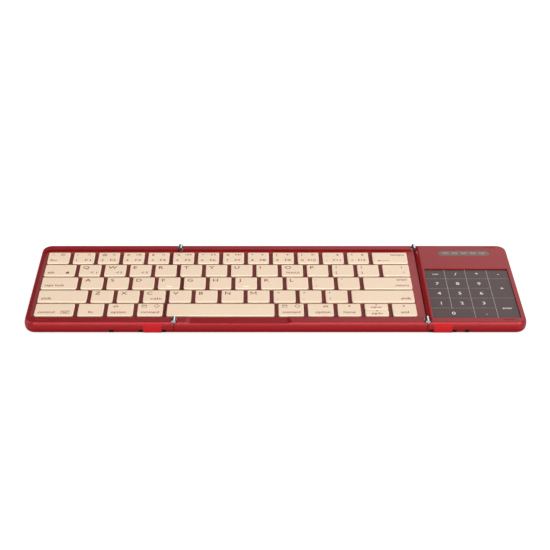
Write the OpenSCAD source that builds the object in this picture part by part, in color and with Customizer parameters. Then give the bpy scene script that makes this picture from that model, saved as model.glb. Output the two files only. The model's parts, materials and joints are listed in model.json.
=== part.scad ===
// Tri-fold folding keyboard with a touch number pad.
// It lies open and flat. +X runs to the right along the keyboard, +Y to the back and +Z up.
// The origin is at the middle of the whole footprint, on the surface that the foot strips stand on.

/* [Body] */
// Height of the rims above the underside of the case
case_h = 9.7; // [9.6:0.1:10.6]
// Height that the foot strips hold the case off the table
foot_h = 0.3; // [0.2:0.05:0.6]
// Corner radius of the outline, seen from above
corner_r = 8; // [5:0.5:12]
// Radius of the bulge of the outer edges, seen from the side
side_r = 10; // [9:0.5:14]
// Height above the table at which the outer edges stand out most
side_z = 5.15; // [4.8:0.05:5.5]
// Radius where the bulge meets the top of the rims
top_edge_r = 0.6; // [0.4:0.1:1.2]
// Radius where the bulge meets the underside
bottom_edge_r = 3; // [2:0.1:3.5]
// Height of the case shells below the parting line
shell_h = 4.3; // [4.1:0.05:4.4]
// Side wall of the case shells
wall = 1.8; // [1.2:0.1:2.2]
// Floor of the case shells
floor_t = 1.2; // [0.9:0.1:1.4]
// Width of the back rim
back_rim = 6.45; // [6.4:0.05:7.2]
// Width of the front rim
front_rim = 7; // [6.5:0.1:7.8]
// Width of the rim along the left end
side_rim = 3; // [2.4:0.1:3.8]
// Gap between two panels
seam_gap = 0.5; // [0.4:0.05:0.6]
// Wall beside a seam
seam_wall = 1.2; // [1:0.1:1.3]

/* [Keys] */
// Distance between key centres along a row
key_pitch = 19; // [18.4:0.1:19.4]
// Distance between rows
row_pitch = 17; // [16.6:0.1:18]
// Gap between neighbouring keys in a row
key_gap = 3; // [2.8:0.1:3.4]
// Gap between rows of keys
row_gap = 2; // [1.95:0.05:2.4]
// Corner radius of a key
key_corner_r = 1.5; // [0.8:0.1:2]
// Radius of the upper edges of a key
key_edge_r = 0.7; // [0.3:0.1:0.8]
// Height of the key tops below the rims
key_drop = 0.3; // [0.1:0.05:0.4]
// Height of a key cap
cap_h = 3.4; // [3.2:0.1:3.7]
// Side wall of a key cap
cap_wall = 0.9; // [0.7:0.1:1]
// Top wall of a key cap
cap_top = 1.1; // [0.9:0.1:1.4]
// Clearance between a key and its window
window_gap = 0.3; // [0.2:0.05:0.32]
// Gap between the two half-height keys
split_gap = 0.6; // [0.4:0.1:0.9]
// Width of the escape key's place
esc_w = 19.45; // [19:0.05:21]
// Width of the tab key's place
tab_w = 25.95; // [24:0.05:28]
// Width of the caps lock key's place
caps_w = 29.35; // [28:0.05:31]
// Width of the left shift key's place
shift_w = 38.55; // [37:0.05:40]
// Width of the backslash key's place
backslash_w = 23; // [21:0.5:26]
// Width of the left control key's place
ctrl_w = 30.95; // [29:0.05:32]
// Width of the function key's place
fn_w = 21.3; // [20.5:0.1:22]
// Width of each alt key's place
alt_w = 21.4; // [20.5:0.1:22]
// Width of each meta key's place
meta_w = 21.1; // [20.5:0.1:22]
// Width of the home key's place
home_w = 19.6; // [18.5:0.1:21]
// Width of the page key's place
page_w = 19.8; // [18.5:0.1:21]
// Width of the end key's place
end_w = 20.1; // [18.5:0.1:21]

/* [Deck] */
// Depth of the deck below the rims
deck_drop = 2.1; // [2:0.1:2.6]
// Thickness of the deck
deck_t = 1; // [0.8:0.1:1.1]
// Strip of deck between the left rim and the keys' places
left_strip = 1.9; // [1:0.05:4]
// Strip of deck between the back rim and the keys' places
back_strip = 2.7; // [2:0.05:4]
// Strip of deck between the front rim and the keys' places
front_strip = 1.55; // [1:0.05:3]
// Strip of deck between the keys' places and the right hinge line
seam_strip = 4.9; // [3:0.1:8]
// Radius in the corners of the key well
well_r = 4.5; // [3:0.5:6]
// Length of the thumb notch in the front rim
notch_w = 77.2; // [50:0.2:90]
// Distance from the left hinge line to the thumb notch
notch_start = 7.3; // [6:0.1:20]
// Depth of the thumb notch at the front edge
notch_depth = 1; // [0.7:0.1:1.6]
// Depth of the thumb notch beside the keys
notch_back = 0.35; // [0.2:0.05:0.6]
// Length of each ramp of the thumb notch
notch_ramp = 4; // [2:0.5:6]

/* [Key mechanism] */
// Height of the support plate above the table
plate_z = 3.2; // [3:0.1:3.4]
// Thickness of the support plate
plate_t = 0.6; // [0.4:0.1:0.8]
// Thickness of the membrane
membrane_t = 0.3; // [0.2:0.05:0.4]
// Clearance between the inner parts and the shell walls
inner_gap = 0.3; // [0.2:0.05:0.5]
// Clearance between a key and the parts that carry it
lift_gap = 0.1; // [0.05:0.05:0.2]
// Half length of a scissor lift
lift_half = 5; // [4:0.25:5.5]
// Thickness of the bars of a scissor lift
lift_bar = 0.7; // [0.5:0.1:0.8]
// Radius of the foot of a rubber dome
dome_r = 2.6; // [2:0.1:3]
// Radius of the boss under a key
boss_r = 1.2; // [0.8:0.1:1.4]
// Length of the boss under a key
boss_h = 1.2; // [0.8:0.1:1.6]
// Radius of the stabiliser wire
wire_r = 0.4; // [0.3:0.05:0.5]
// Distance from the end of a long key to its stabiliser's arm
wire_inset = 4; // [3:0.5:6]
// Radius of the heat stakes that hold the support plate
stake_r = 0.65; // [0.5:0.05:0.65]
// Radius of the heads of the heat stakes
stake_head_r = 1.2; // [1:0.1:1.6]
// Height of the heads of the heat stakes
stake_head_h = 0.5; // [0.3:0.1:0.8]

/* [Hinges] */
// Height of the hinge axes above the rims
axis_rise = 0.15; // [0.1:0.05:0.3]
// Outer radius of the hinge barrels
barrel_r = 1.5; // [1.3:0.1:1.8]
// Length of a hinge barrel, both knuckles together
barrel_len = 5.3; // [4.6:0.1:5.3]
// Radius of the hinge pins
pin_r = 0.72; // [0.5:0.02:0.9]
// Running clearance of a pin in the wing's knuckle
pin_gap = 0.03; // [0.02:0.01:0.08]
// Gap between two knuckles
knuckle_gap = 0.1; // [0.05:0.05:0.2]
// Room around a barrel in its pocket
pocket_gap = 0.4; // [0.3:0.05:0.6]
// Depth of a knuckle's tenon below its pad
tenon_h = 1; // [0.8:0.1:1.1]
// Clearance around a tenon
tenon_gap = 0.05; // [0.03:0.01:0.1]
// Distance from the outer edge of a rim to a pocket
pocket_wall = 1; // [0.9:0.05:1]

/* [Number pad wing] */
// Width of the right wing from its hinge line
right_w = 71.25; // [71:0.05:74]
// Thickness of the wing's cover
cover_t = 2.4; // [2.2:0.1:2.8]
// Radius of the cover's edge along the seam
seam_edge_r = 3.5; // [2:0.1:3.6]
// Width of the touch glass
glass_w = 62.15; // [58:0.05:62.5]
// Depth of the touch glass from front to back
glass_d = 62.65; // [58:0.05:65]
// Thickness of the touch glass
glass_t = 1; // [0.7:0.1:1.2]
// Depth of the glass below the rims
glass_drop = 0.9; // [0.5:0.1:1]
// Corner radius of the touch glass
glass_r = 0.8; // [0.5:0.1:2]
// Cover left beside the glass at the right end
glass_side = 4.3; // [3.8:0.05:4.8]
// Cover left beside the glass at the front
glass_front = 6.65; // [5.8:0.05:8]
// Ledge under the edge of the glass
glass_ledge = 2; // [1.5:0.1:3]
// Clearance around the glass and the indicator window
glass_gap = 0.15; // [0.1:0.05:0.25]
// Length of the indicator window
pill_w = 39.8; // [34:0.2:44]
// Depth of the indicator window from front to back
pill_d = 7; // [6:0.1:8]
// Distance from the right end to the middle of the indicator window
pill_right = 33.75; // [31:0.05:36]
// Distance from the back edge to the middle of the indicator window
pill_back = 11.6; // [10:0.1:13]
// Thickness of the indicator window
pill_t = 1; // [0.8:0.1:1.2]
// Depth of the indicator window below the rims
pill_drop = 0.1; // [0.05:0.05:0.3]
// Number of indicator lamps
lamp_count = 5; // [3:1:5]
// Size of the battery along X, Y and Z
battery_size = [48, 44, 3.8];
// Gap between the battery and the case wall
battery_gap = 3; // [2:0.5:5]
// Size of the main board along X, Y and Z
board_size = [58, 32, 0.8];
// Height of the posts under the main board
post_h = 1.1; // [0.8:0.1:1.3]
// Radius of the posts under the main board
post_r = 1.5; // [1:0.1:2]
// Width, height and depth of the charging socket
socket_size = [9, 3.2, 7.2];
// Distance from the right end to the middle of the charging socket
socket_right = 21; // [16:0.5:30]
// Wall of the charging socket's shell
socket_wall = 0.3; // [0.2:0.05:0.4]
// Size of the power switch's body along X, Y and Z
switch_size = [4.4, 8, 3];
// Distance from the middle of the power switch to the X axis, towards the back
switch_y = 27; // [22:0.5:32]
// Size of the switch's knob along Y and Z
knob_size = [2.4, 1.6];
// Travel of the power switch
switch_travel = 2; // [1.5:0.1:2.4]

/* [Feet and bumpers] */
// Width of a foot strip
foot_w = 13.1; // [10:0.1:16]
// Thickness of a foot strip on the front and back edges
foot_side = 0.4; // [0.2:0.05:0.6]
// Height of the foot strips on the front edge, above the table
foot_rise = 6.7; // [5.2:0.1:8]
// Height of the foot strips on the back edge, above the table
foot_back_rise = 9.6; // [7:0.1:9.7]
// Distance from the left hinge line to its foot strip
foot_left = 8.75; // [8:0.05:12]
// Distance from the right hinge line to its foot strip
foot_right = 4.5; // [4:0.1:8]
// Length of the small slots along the bottom edge
drain_w = 3.2; // [2:0.1:4]
// Height of the small slots along the bottom edge
drain_h = 0.8; // [0.5:0.1:0.9]
// Length of a bumper
bumper_w = 8.7; // [6:0.1:10]
// Width of a bumper
bumper_d = 1.3; // [1:0.1:1.8]
// Depth of the slot that holds a bumper
bumper_slot = 1.2; // [0.8:0.1:1.6]
// Depth of the bumper's top below the rims
bumper_drop = 0.1; // [0.05:0.05:0.3]
// Distance from the end of the keyboard to its bumpers
bumper_inset = 8.5; // [8.2:0.1:14]

/* [Hidden] */
$fn = 48;

// Cuts run past the faces that they open by this much.
past = 1;

// The rows of keys, from the back to the front: the width of each key's place.
letters = function (n) [for (i = [1:n]) key_pitch];
sum = function (v, n) n <= 0 ? 0 : v[n - 1] + sum(v, n - 1);
block_w = tab_w + 12 * key_pitch + backslash_w;
number_row = concat([esc_w], letters(12), [block_w - esc_w - 12 * key_pitch]);
upper_row = concat([tab_w], letters(12), [backslash_w]);
home_row = concat([caps_w], letters(11), [block_w - caps_w - 11 * key_pitch]);
lower_row = concat([shift_w], letters(10), [block_w - shift_w - 10 * key_pitch]);
bottom_left = [ctrl_w, fn_w, alt_w, meta_w];
bottom_right = [meta_w, alt_w, home_w, page_w, end_w];
space_w = block_w - sum(bottom_left, 4) - sum(bottom_right, 5);
bottom_row = concat(bottom_left, [space_w], bottom_right);
rows = [number_row, upper_row, home_row, lower_row, bottom_row];
// How many keys of each row the left wing carries.
left_keys = [5, 5, 5, 4, 4];
page_key = 8;

// Plan positions.
total_w = side_rim + left_strip + block_w + seam_strip + right_w;
total_d = back_rim + back_strip + 5 * row_pitch + front_strip + front_rim;
left_x = -total_w / 2;
right_x = total_w / 2;
back_y = total_d / 2;
block_x = left_x + side_rim + left_strip;
row_y = function (r) back_y - back_rim - back_strip - r * row_pitch;
key_x = function (r, i) block_x + sum(rows[r], i);
seam_x = [for (r = [0:4]) key_x(r, left_keys[r])];
left_hinge_x = seam_x[1];
right_hinge_x = block_x + block_w + seam_strip;

// Heights above the table.
rim_z = foot_h + case_h;
part_z = foot_h + shell_h;
inside_z = foot_h + floor_t;
deck_z = rim_z - deck_drop;
key_z = rim_z - key_drop;
cap_z = key_z - cap_h;
ceiling_z = key_z - cap_top;
membrane_z = plate_z + plate_t;
dome_z = membrane_z + membrane_t;
axis_z = rim_z + axis_rise;
pocket_z = axis_z - barrel_r - pocket_gap;
cover_z = rim_z - cover_t;
glass_z = rim_z - glass_drop - glass_t;
pill_z = rim_z - pill_drop - pill_t;

// The seams, as bands across the depth: from y, to y, and where the left seam lies there.
far = 2 * back_y;
seam_bands = concat(
    [[row_y(0), far, left_hinge_x]],
    [for (r = [0:4]) [row_y(r + 1), row_y(r), seam_x[r]]],
    [[-far, row_y(5), left_hinge_x]]
);

red = "firebrick";
cream = "bisque";

// The fillets above and below the bulge of an outer edge: the height of a fillet's middle,
// how far that lies inside the edge, and the slope of the line on which it meets the bulge.
top_fillet_z = rim_z - top_edge_r;
bottom_fillet_z = foot_h + bottom_edge_r;
fillet_in = function (r, z) side_r - sqrt(pow(side_r - r, 2) - pow(z - side_z, 2));
fillet_turn = function (r, z) asin((z - side_z) / (side_r - r));
// How far inside the edge the flat top of a rim starts.
flat_in = fillet_in(top_edge_r, top_fillet_z);

// ---- Outlines ----

// A rectangle with round corners, from one corner to the other.
module round_rect(x0, y0, x1, y1, r) {
    translate([x0 + r, y0]) square([x1 - x0 - 2 * r, y1 - y0]);
    translate([x0, y0 + r]) square([x1 - x0, y1 - y0 - 2 * r]);
    for (x = [x0 + r, x1 - r], y = [y0 + r, y1 - r]) translate([x, y]) circle(r);
}

// A pill shape with its middle at the origin.
module pill(w, d) {
    translate([d / 2 - w / 2, -d / 2]) square([w - d, d]);
    for (s = [-1, 1]) translate([s * (w - d) / 2, 0]) circle(d / 2);
}

// Points along an arc, in steps.
function arc_points(x, z, r, from, to, steps) = [for (i = [0:steps])
    let (turn = from + (to - from) * i / steps) [x + r * cos(turn), z + r * sin(turn)]];

// Half of the whole cross section, out to an edge that bulges between its two fillets.
module bulging_half(half_w, grow = 0) {
    low = fillet_turn(bottom_edge_r, bottom_fillet_z);
    high = fillet_turn(top_edge_r, top_fillet_z);
    bottom_x = half_w - fillet_in(bottom_edge_r, bottom_fillet_z);
    bulge = arc_points(half_w - side_r, side_z, side_r + grow, low, high, 12);
    polygon(concat(
        [[0, rim_z + grow], [0, foot_h - grow]],
        arc_points(bottom_x, bottom_fillet_z, bottom_edge_r + grow, -90, low, 8),
        [for (i = [1:len(bulge) - 2]) bulge[i]],
        arc_points(half_w - flat_in, top_fillet_z, top_edge_r + grow, high, 90, 5)
    ));
}

// The part of that half between two heights.
module edge_band(half_w, z0, z1) {
    intersection() {
        bulging_half(half_w);
        translate([0, z0]) square([half_w, z1 - z0]);
    }
}

// A shell block with bulging front and back edges, and one such end too where it is an outer end.
// The bulge runs round the plan corners of that end.
module slab(x0, x1, z0, z1, left_end = false, right_end = false) {
    xa = x0 + (left_end ? corner_r : 0);
    xb = x1 - (right_end ? corner_r : 0);
    corner_y = back_y - corner_r;
    translate([xa, 0, 0]) rotate([90, 0, 90]) linear_extrude(xb - xa) {
        edge_band(back_y, z0, z1);
        mirror([1, 0]) edge_band(back_y, z0, z1);
    }
    if (left_end || right_end) {
        side = left_end ? -1 : 1;
        edge_x = left_end ? xa : xb;
        translate([edge_x, corner_y, 0]) rotate([90, 0, 0]) linear_extrude(2 * corner_y)
            scale([side, 1]) edge_band(corner_r, z0, z1);
        for (front = [false, true])
            translate([edge_x, front ? -corner_y : corner_y, 0])
                rotate([0, 0, left_end ? (front ? 180 : 90) : (front ? 270 : 0)])
                    rotate_extrude(angle = 90) edge_band(corner_r, z0, z1);
    }
}

// The space inside the walls of the left wing, less an inset all round.
module left_inside(inset) {
    edge = seam_gap / 2 + seam_wall + inset;
    core_x = min(seam_x) - edge;
    y = back_y - wall - inset;
    round_rect(left_x + wall + inset, -y, core_x, y, corner_r - wall);
    // The corners beside the seam are square.
    for (s = [-1, 1]) translate([core_x - corner_r, s > 0 ? y - corner_r : -y]) square(corner_r);
    for (r = [0:4]) if (seam_x[r] - edge > core_x)
        translate([core_x - past, row_y(r + 1) + edge])
            square([seam_x[r] - edge - core_x + past, row_pitch - 2 * edge]);
}

// The space inside the walls of the centre panel, less an inset all round.
module centre_inside(inset) {
    edge = seam_gap / 2 + seam_wall + inset;
    core_x = max(seam_x) + edge;
    y = back_y - wall - inset;
    translate([core_x, -y]) square([right_hinge_x - edge - core_x, 2 * y]);
    for (r = [0:4]) if (seam_x[r] + edge < core_x)
        translate([seam_x[r] + edge, row_y(r + 1) + edge])
            square([core_x + past - seam_x[r] - edge, row_pitch - 2 * edge]);
}

// The space inside the walls of the right wing.
module right_inside() {
    x0 = right_hinge_x + seam_gap / 2 + wall;
    y = back_y - wall;
    round_rect(x0, -y, right_x - wall, y, corner_r - wall);
    for (s = [-1, 1]) translate([x0, s > 0 ? y - corner_r : -y]) square(corner_r);
}

// ---- Seams and hinges ----

// Everything to the right of the left wing's stepped edge.
module right_of_left_wing() {
    for (b = seam_bands)
        translate([b[2] - seam_gap / 2, b[0] - seam_gap / 2, -past])
            cube([far, b[1] - b[0] + seam_gap, rim_z + 2 * past]);
}

// Everything to the left of the centre panel's stepped edge.
module left_of_centre() {
    for (b = seam_bands)
        translate([b[2] + seam_gap / 2 - far, b[0] - seam_gap / 2, -past])
            cube([far, b[1] - b[0] + seam_gap, rim_z + 2 * past]);
}

// Where a barrel lies along Y: it ends this far from the middle of the keyboard.
barrel_end = back_y - pocket_wall - knuckle_gap;
barrel_start = barrel_end - barrel_len;
knuckle_len = (barrel_len - knuckle_gap) / 2;
pad_h = rim_z - pocket_z - pocket_gap;
pad_x = barrel_r + pocket_gap - 2 * tenon_gap;
// The pads keep this far from the hinge line, and a pocket is this much wider than its barrel.
pad_in = 0.3;
pocket_side = pocket_gap + 0.2;
tenon_w = 1;

// Pockets round both barrels of a hinge line, and the mortises of the knuckles on one side of it.
module hinge_pockets(x, side, outer) {
    half = barrel_r + pocket_side;
    for (s = [-1, 1]) {
        pocket_d = (s > 0 ? back_rim : front_rim) + past - pocket_wall;
        y = back_y - pocket_wall - pocket_d / 2;
        translate([x - half, s * y - pocket_d / 2, pocket_z]) cube([2 * half, pocket_d, rim_z]);
        translate([x, s * knuckle_middle(outer), 0])
            knuckle_tenon(side, tenon_gap);
    }
}

// The middle of a knuckle along Y: the inner ones belong to the centre panel.
function knuckle_middle(outer) =
    outer ? barrel_end - knuckle_len / 2 : barrel_start + knuckle_len / 2;

// The tenon that holds a knuckle in its rim, on the given side of the hinge line.
module knuckle_tenon(side, gap) {
    x1 = side * (pad_x - tenon_w / 2);
    translate([x1 - tenon_w / 2 - gap, -knuckle_len / 2 - gap, pocket_z - tenon_h - gap])
        cube([tenon_w + 2 * gap, knuckle_len + 2 * gap, tenon_h + 2 * gap]);
}

// One knuckle of a hinge line with its pad and tenon.
module knuckle(x, side, outer, bore_r) {
    for (s = [-1, 1]) translate([x, s * knuckle_middle(outer), 0]) difference() {
        union() {
            translate([0, 0, axis_z]) rotate([90, 0, 0])
                cylinder(h = knuckle_len, r = barrel_r, center = true);
            translate([side > 0 ? pad_in : -pad_x, -knuckle_len / 2, pocket_z])
                cube([pad_x - pad_in, knuckle_len, pad_h]);
            knuckle_tenon(side, 0);
        }
        translate([0, 0, axis_z]) rotate([90, 0, 0])
            cylinder(h = knuckle_len + 2 * past, r = bore_r, center = true);
    }
}

// ---- Keys ----

// The rectangle of a key: its left, front, right and back edges.
function key_rect(r, i) = [
    key_x(r, i) + key_gap / 2, row_y(r + 1) + row_gap / 2,
    key_x(r, i + 1) - key_gap / 2, row_y(r) - row_gap / 2
];
full_d = row_pitch - row_gap;
half_d = (full_d - split_gap) / 2;
function page_rect(upper) = let (k = key_rect(4, page_key))
    upper ? [k[0], k[3] - half_d, k[2], k[3]] : [k[0], k[1], k[2], k[1] + half_d];
function key_rects(r, first, last) = [for (i = [first:last]) key_rect(r, i)];

left_rects = [for (r = [0:4], i = [0:left_keys[r] - 1]) key_rect(r, i)];
centre_rects = concat(
    [for (r = [0:4], i = [left_keys[r]:len(rows[r]) - 1]) if (r < 4 || i != page_key) key_rect(r, i)],
    [page_rect(true), page_rect(false)]
);
// Keys with a stabiliser wire: left shift, backspace, enter, right shift and space.
left_long = [key_rect(3, 0)];
centre_long = [key_rect(0, 13), key_rect(2, 12), key_rect(3, 11), key_rect(4, 4)];

// The outline of a key's edge view, with its two upper corners rounded.
module cap_view(w) {
    top_w = w - 2 * key_edge_r;
    translate([-w / 2, cap_z]) square([w, cap_h - key_edge_r]);
    translate([-top_w / 2, cap_z]) square([top_w, cap_h]);
    for (s = [-1, 1]) translate([s * top_w / 2, key_z - key_edge_r]) circle(key_edge_r);
}

// A hollow key cap with the boss that presses on its dome.
module key_cap(k) {
    w = k[2] - k[0];
    d = k[3] - k[1];
    color(cream) translate([(k[0] + k[2]) / 2, (k[1] + k[3]) / 2, 0]) {
        difference() {
            intersection() {
                translate([0, 0, cap_z]) linear_extrude(cap_h)
                    round_rect(-w / 2, -d / 2, w / 2, d / 2, key_corner_r);
                translate([0, d / 2, 0]) rotate([90, 0, 0]) linear_extrude(d) cap_view(w);
                translate([-w / 2, 0, 0]) rotate([90, 0, 90]) linear_extrude(w) cap_view(d);
            }
            translate([cap_wall - w / 2, cap_wall - d / 2, cap_z - past])
                cube([w - 2 * cap_wall, d - 2 * cap_wall, ceiling_z - cap_z + past]);
        }
        translate([0, 0, ceiling_z - boss_h]) cylinder(h = boss_h, r = boss_r, $fn = 24);
    }
}

module keys(rects) {
    for (k = rects) key_cap(k);
}

// The windows that the keys rise through, in the deck and in the walls under it.
module key_windows(rects) {
    for (k = rects)
        translate([0, 0, part_z - past]) linear_extrude(deck_z - part_z + 2 * past)
            round_rect(k[0] - window_gap, k[1] - window_gap, k[2] + window_gap, k[3] + window_gap,
                key_corner_r + window_gap);
}

// Half the depth of the room under a key, and how far its lift's bars are from its middle.
function room(k) = (k[3] - k[1]) / 2 - cap_wall;
function bar_y(k) = min(room(k) - lift_bar / 2 - 0.15, 4.4);
function dome_foot(k) = min(dome_r, bar_y(k) - lift_bar / 2 - 0.1);

// A scissor lift: on each side two crossed bars, and a cross bar at each of their four ends.
module scissor_lift(k) {
    y = bar_y(k);
    low = dome_z + lift_bar / 2;
    high = ceiling_z - lift_gap - lift_bar / 2;
    rise = high - low;
    length = sqrt(rise * rise + 4 * lift_half * lift_half);
    tilt = atan2(rise, 2 * lift_half);
    translate([(k[0] + k[2]) / 2, (k[1] + k[3]) / 2, (low + high) / 2]) {
        for (s = [-1, 1], t = [-1, 1]) translate([0, s * y, 0]) rotate([0, t * tilt, 0])
            cube([length, lift_bar, lift_bar * 0.8], center = true);
        for (s = [-1, 1], h = [-1, 1]) translate([s * lift_half, 0, h * rise / 2])
            cube([lift_bar, 2 * y + lift_bar, lift_bar], center = true);
    }
}

// A rubber dome on the membrane under a key's boss.
module dome(k) {
    foot = dome_foot(k);
    h = ceiling_z - boss_h - lift_gap - dome_z;
    translate([(k[0] + k[2]) / 2, (k[1] + k[3]) / 2, dome_z])
        cylinder(h = h, r1 = foot, r2 = foot * 0.6, $fn = 24);
}

// The stabiliser wire of a long key: a long bar along the front and an arm at each end.
module stabiliser(k) {
    x0 = k[0] + wire_inset;
    x1 = k[2] - wire_inset;
    y = k[1] + cap_wall + 0.2 + wire_r;
    translate([0, y, dome_z + wire_r]) {
        translate([x0, 0, 0]) rotate([0, 90, 0]) cylinder(h = x1 - x0, r = wire_r, $fn = 16);
        for (x = [x0, x1]) translate([x, 0, 0]) {
            sphere(wire_r, $fn = 16);
            rotate([-90, 0, 0]) cylinder(h = full_d / 2 - 1, r = wire_r, $fn = 16);
        }
    }
}

// ---- Support plates and membranes ----

// The heat stakes stand between the rows, evenly spaced along a panel.
left_stakes = [for (i = [0:2], r = [1:4])
    [block_x + (i + 0.5) * (min(seam_x) - block_x) / 3, row_y(r)]];
centre_stakes = [for (i = [0:4], r = [1:4])
    [max(seam_x) + (i + 0.5) * (block_x + block_w - max(seam_x)) / 5, row_y(r)]];

module heat_stakes(places) {
    for (p = places) translate([p[0], p[1], 0]) {
        translate([0, 0, plate_z - stake_head_h])
            cylinder(h = deck_z - deck_t / 2 - plate_z + stake_head_h, r = stake_r, $fn = 16);
        translate([0, 0, plate_z - stake_head_h])
            cylinder(h = stake_head_h, r = stake_head_r, $fn = 16);
    }
}

// A sheet with a hole for each heat stake.
module staked_sheet(z, t, places) {
    translate([0, 0, z]) linear_extrude(t) difference() {
        children();
        for (p = places) translate(p) circle(stake_r + 0.15, $fn = 16);
    }
}

// Ribs on a case floor, under the middle of each row, that carry the support plate.
module plate_ribs(x0, x1) {
    rib_t = 1;
    for (r = [0:4])
        translate([x0, row_y(r) - row_pitch / 2 - rib_t / 2, foot_h + floor_t / 2])
            cube([x1 - x0, rib_t, plate_z - foot_h - floor_t / 2]);
}

// ---- Feet, slots and bumpers ----

// A foot strip that wraps round the front and back edges of a wing.
module foot_strip(x) {
    fit = 0.03;
    color("crimson") translate([x, 0, 0]) rotate([90, 0, 90]) linear_extrude(foot_w)
        for (s = [-1, 1]) scale([s, 1]) difference() {
            intersection() {
                bulging_half(back_y, foot_side);
                square([back_y + foot_side, s > 0 ? foot_back_rise : foot_rise]);
            }
            bulging_half(back_y + fit);
        }
}

// The small slots along the bottom edge beside a foot strip and further out.
module drain_slots(places) {
    for (x = places, s = [-1, 1])
        translate([x, s > 0 ? back_y - bottom_edge_r : -back_y - past, foot_h - past])
            cube([drain_w, bottom_edge_r + past, drain_h + past]);
}

// The bumpers lie in the middle of the flat tops of the back rim and the front rim.
bumper_ys = [back_y - (flat_in + back_rim) / 2, (flat_in + front_rim) / 2 - back_y];
bumper_fit = 0.05;
module bumper_outline(x, inset) {
    translate([x + bumper_w / 2, 0]) pill(bumper_w - 2 * inset, bumper_d - 2 * inset);
}
module bumper_slots(x) {
    for (y = bumper_ys) translate([0, y, rim_z - bumper_slot]) linear_extrude(rim_z)
        bumper_outline(x, 0);
}
module bumpers(x) {
    color("crimson") for (y = bumper_ys) translate([0, y, rim_z - bumper_slot])
        linear_extrude(bumper_slot - bumper_drop) bumper_outline(x, bumper_fit);
}
left_bumper_x = left_x + bumper_inset;
right_bumper_x = right_x - bumper_inset - bumper_w;
left_foot_x = left_hinge_x - foot_left - foot_w;
right_foot_x = right_hinge_x + foot_right;

// ---- Left wing ----

// Red top frame: rims, deck, key windows, heat stakes and hinge pockets.
module left_top_frame() {
    color(red) difference() {
        union() {
            difference() {
                slab(left_x, max(seam_x) + past, part_z, rim_z, left_end = true);
                translate([0, 0, deck_z]) linear_extrude(rim_z)
                    round_rect(left_x + side_rim, front_rim - back_y, max(seam_x) + far,
                        back_y - back_rim, well_r);
                translate([0, 0, part_z - past]) linear_extrude(deck_z - deck_t - part_z + past)
                    left_inside(0);
            }
            heat_stakes(left_stakes);
        }
        right_of_left_wing();
        key_windows(left_rects);
        bumper_slots(left_bumper_x);
        hinge_pockets(left_hinge_x, -1, true);
    }
}

// Red bottom shell with ribs under the support plate.
module left_case() {
    color(red) difference() {
        union() {
            difference() {
                slab(left_x, max(seam_x) + past, foot_h, part_z, left_end = true);
                translate([0, 0, inside_z]) linear_extrude(rim_z) left_inside(0);
            }
            plate_ribs(left_x + wall / 2, min(seam_x) - seam_wall);
        }
        right_of_left_wing();
        drain_slots([left_foot_x - drain_w, left_foot_x + foot_w, left_foot_x - 21 - drain_w]);
    }
}

module left_support_plate() {
    color("silver") staked_sheet(plate_z, plate_t, left_stakes) left_inside(inner_gap);
}
module left_membrane() {
    color("palegreen") staked_sheet(membrane_z, membrane_t, left_stakes)
        left_inside(2 * inner_gap);
}
module left_domes() {
    color("whitesmoke") for (k = left_rects) dome(k);
}
module left_scissors() {
    color("white") for (k = left_rects) scissor_lift(k);
}
module left_stabiliser() {
    color("silver") for (k = left_long) stabiliser(k);
}
module left_foot_strip() {
    foot_strip(left_foot_x);
}
module left_bumpers() {
    bumpers(left_bumper_x);
}
module left_knuckles() {
    color("gainsboro") knuckle(left_hinge_x, -1, true, pin_r + pin_gap);
}

// ---- Centre panel ----

// The shallow notch in the front rim, for a thumb under the folded wing. It slopes to the front.
module thumb_notch() {
    slope = atan2(notch_depth - notch_back, front_rim);
    h = notch_depth + past;
    spread = notch_ramp * h / notch_depth;
    translate([left_hinge_x + notch_start, front_rim - back_y, rim_z - notch_back])
        rotate([90 + slope, 0, 0]) translate([0, 0, -past]) linear_extrude(front_rim + 3 * past)
            polygon([
                [notch_ramp, 0], [notch_w - notch_ramp, 0],
                [notch_w - notch_ramp + spread, h], [notch_ramp - spread, h]
            ]);
}

module centre_top_frame() {
    x0 = min(seam_x) - past;
    x1 = right_hinge_x - seam_gap / 2;
    color(red) difference() {
        union() {
            difference() {
                slab(x0, x1, part_z, rim_z);
                translate([x0 - past, front_rim - back_y, deck_z])
                    cube([x1 - x0 + 2 * past, total_d - front_rim - back_rim, rim_z]);
                translate([0, 0, part_z - past]) linear_extrude(deck_z - deck_t - part_z + past)
                    centre_inside(0);
            }
            heat_stakes(centre_stakes);
        }
        left_of_centre();
        key_windows(centre_rects);
        thumb_notch();
        hinge_pockets(left_hinge_x, 1, false);
        hinge_pockets(right_hinge_x, -1, false);
    }
}

module centre_case() {
    x0 = min(seam_x) - past;
    x1 = right_hinge_x - seam_gap / 2;
    color(red) difference() {
        union() {
            difference() {
                slab(x0, x1, foot_h, part_z);
                translate([0, 0, inside_z]) linear_extrude(rim_z) centre_inside(0);
            }
            plate_ribs(max(seam_x) + seam_wall, x1 - seam_wall / 2);
        }
        left_of_centre();
    }
}

module centre_support_plate() {
    color("silver") staked_sheet(plate_z, plate_t, centre_stakes) centre_inside(inner_gap);
}
module centre_membrane() {
    color("palegreen") staked_sheet(membrane_z, membrane_t, centre_stakes)
        centre_inside(2 * inner_gap);
}
module centre_domes() {
    color("whitesmoke") for (k = centre_rects) dome(k);
}
module centre_scissors() {
    color("white") for (k = centre_rects) scissor_lift(k);
}
module centre_stabilisers() {
    color("silver") for (k = centre_long) stabiliser(k);
}
module centre_knuckles() {
    color("gainsboro") {
        knuckle(left_hinge_x, 1, false, pin_r);
        knuckle(right_hinge_x, -1, false, pin_r);
    }
}
module hinge_pins() {
    color("silver") for (x = [left_hinge_x, right_hinge_x], s = [-1, 1])
        translate([x, s * (barrel_start + barrel_len / 2), axis_z]) rotate([90, 0, 0])
            cylinder(h = barrel_len, r = pin_r, center = true);
}

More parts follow.
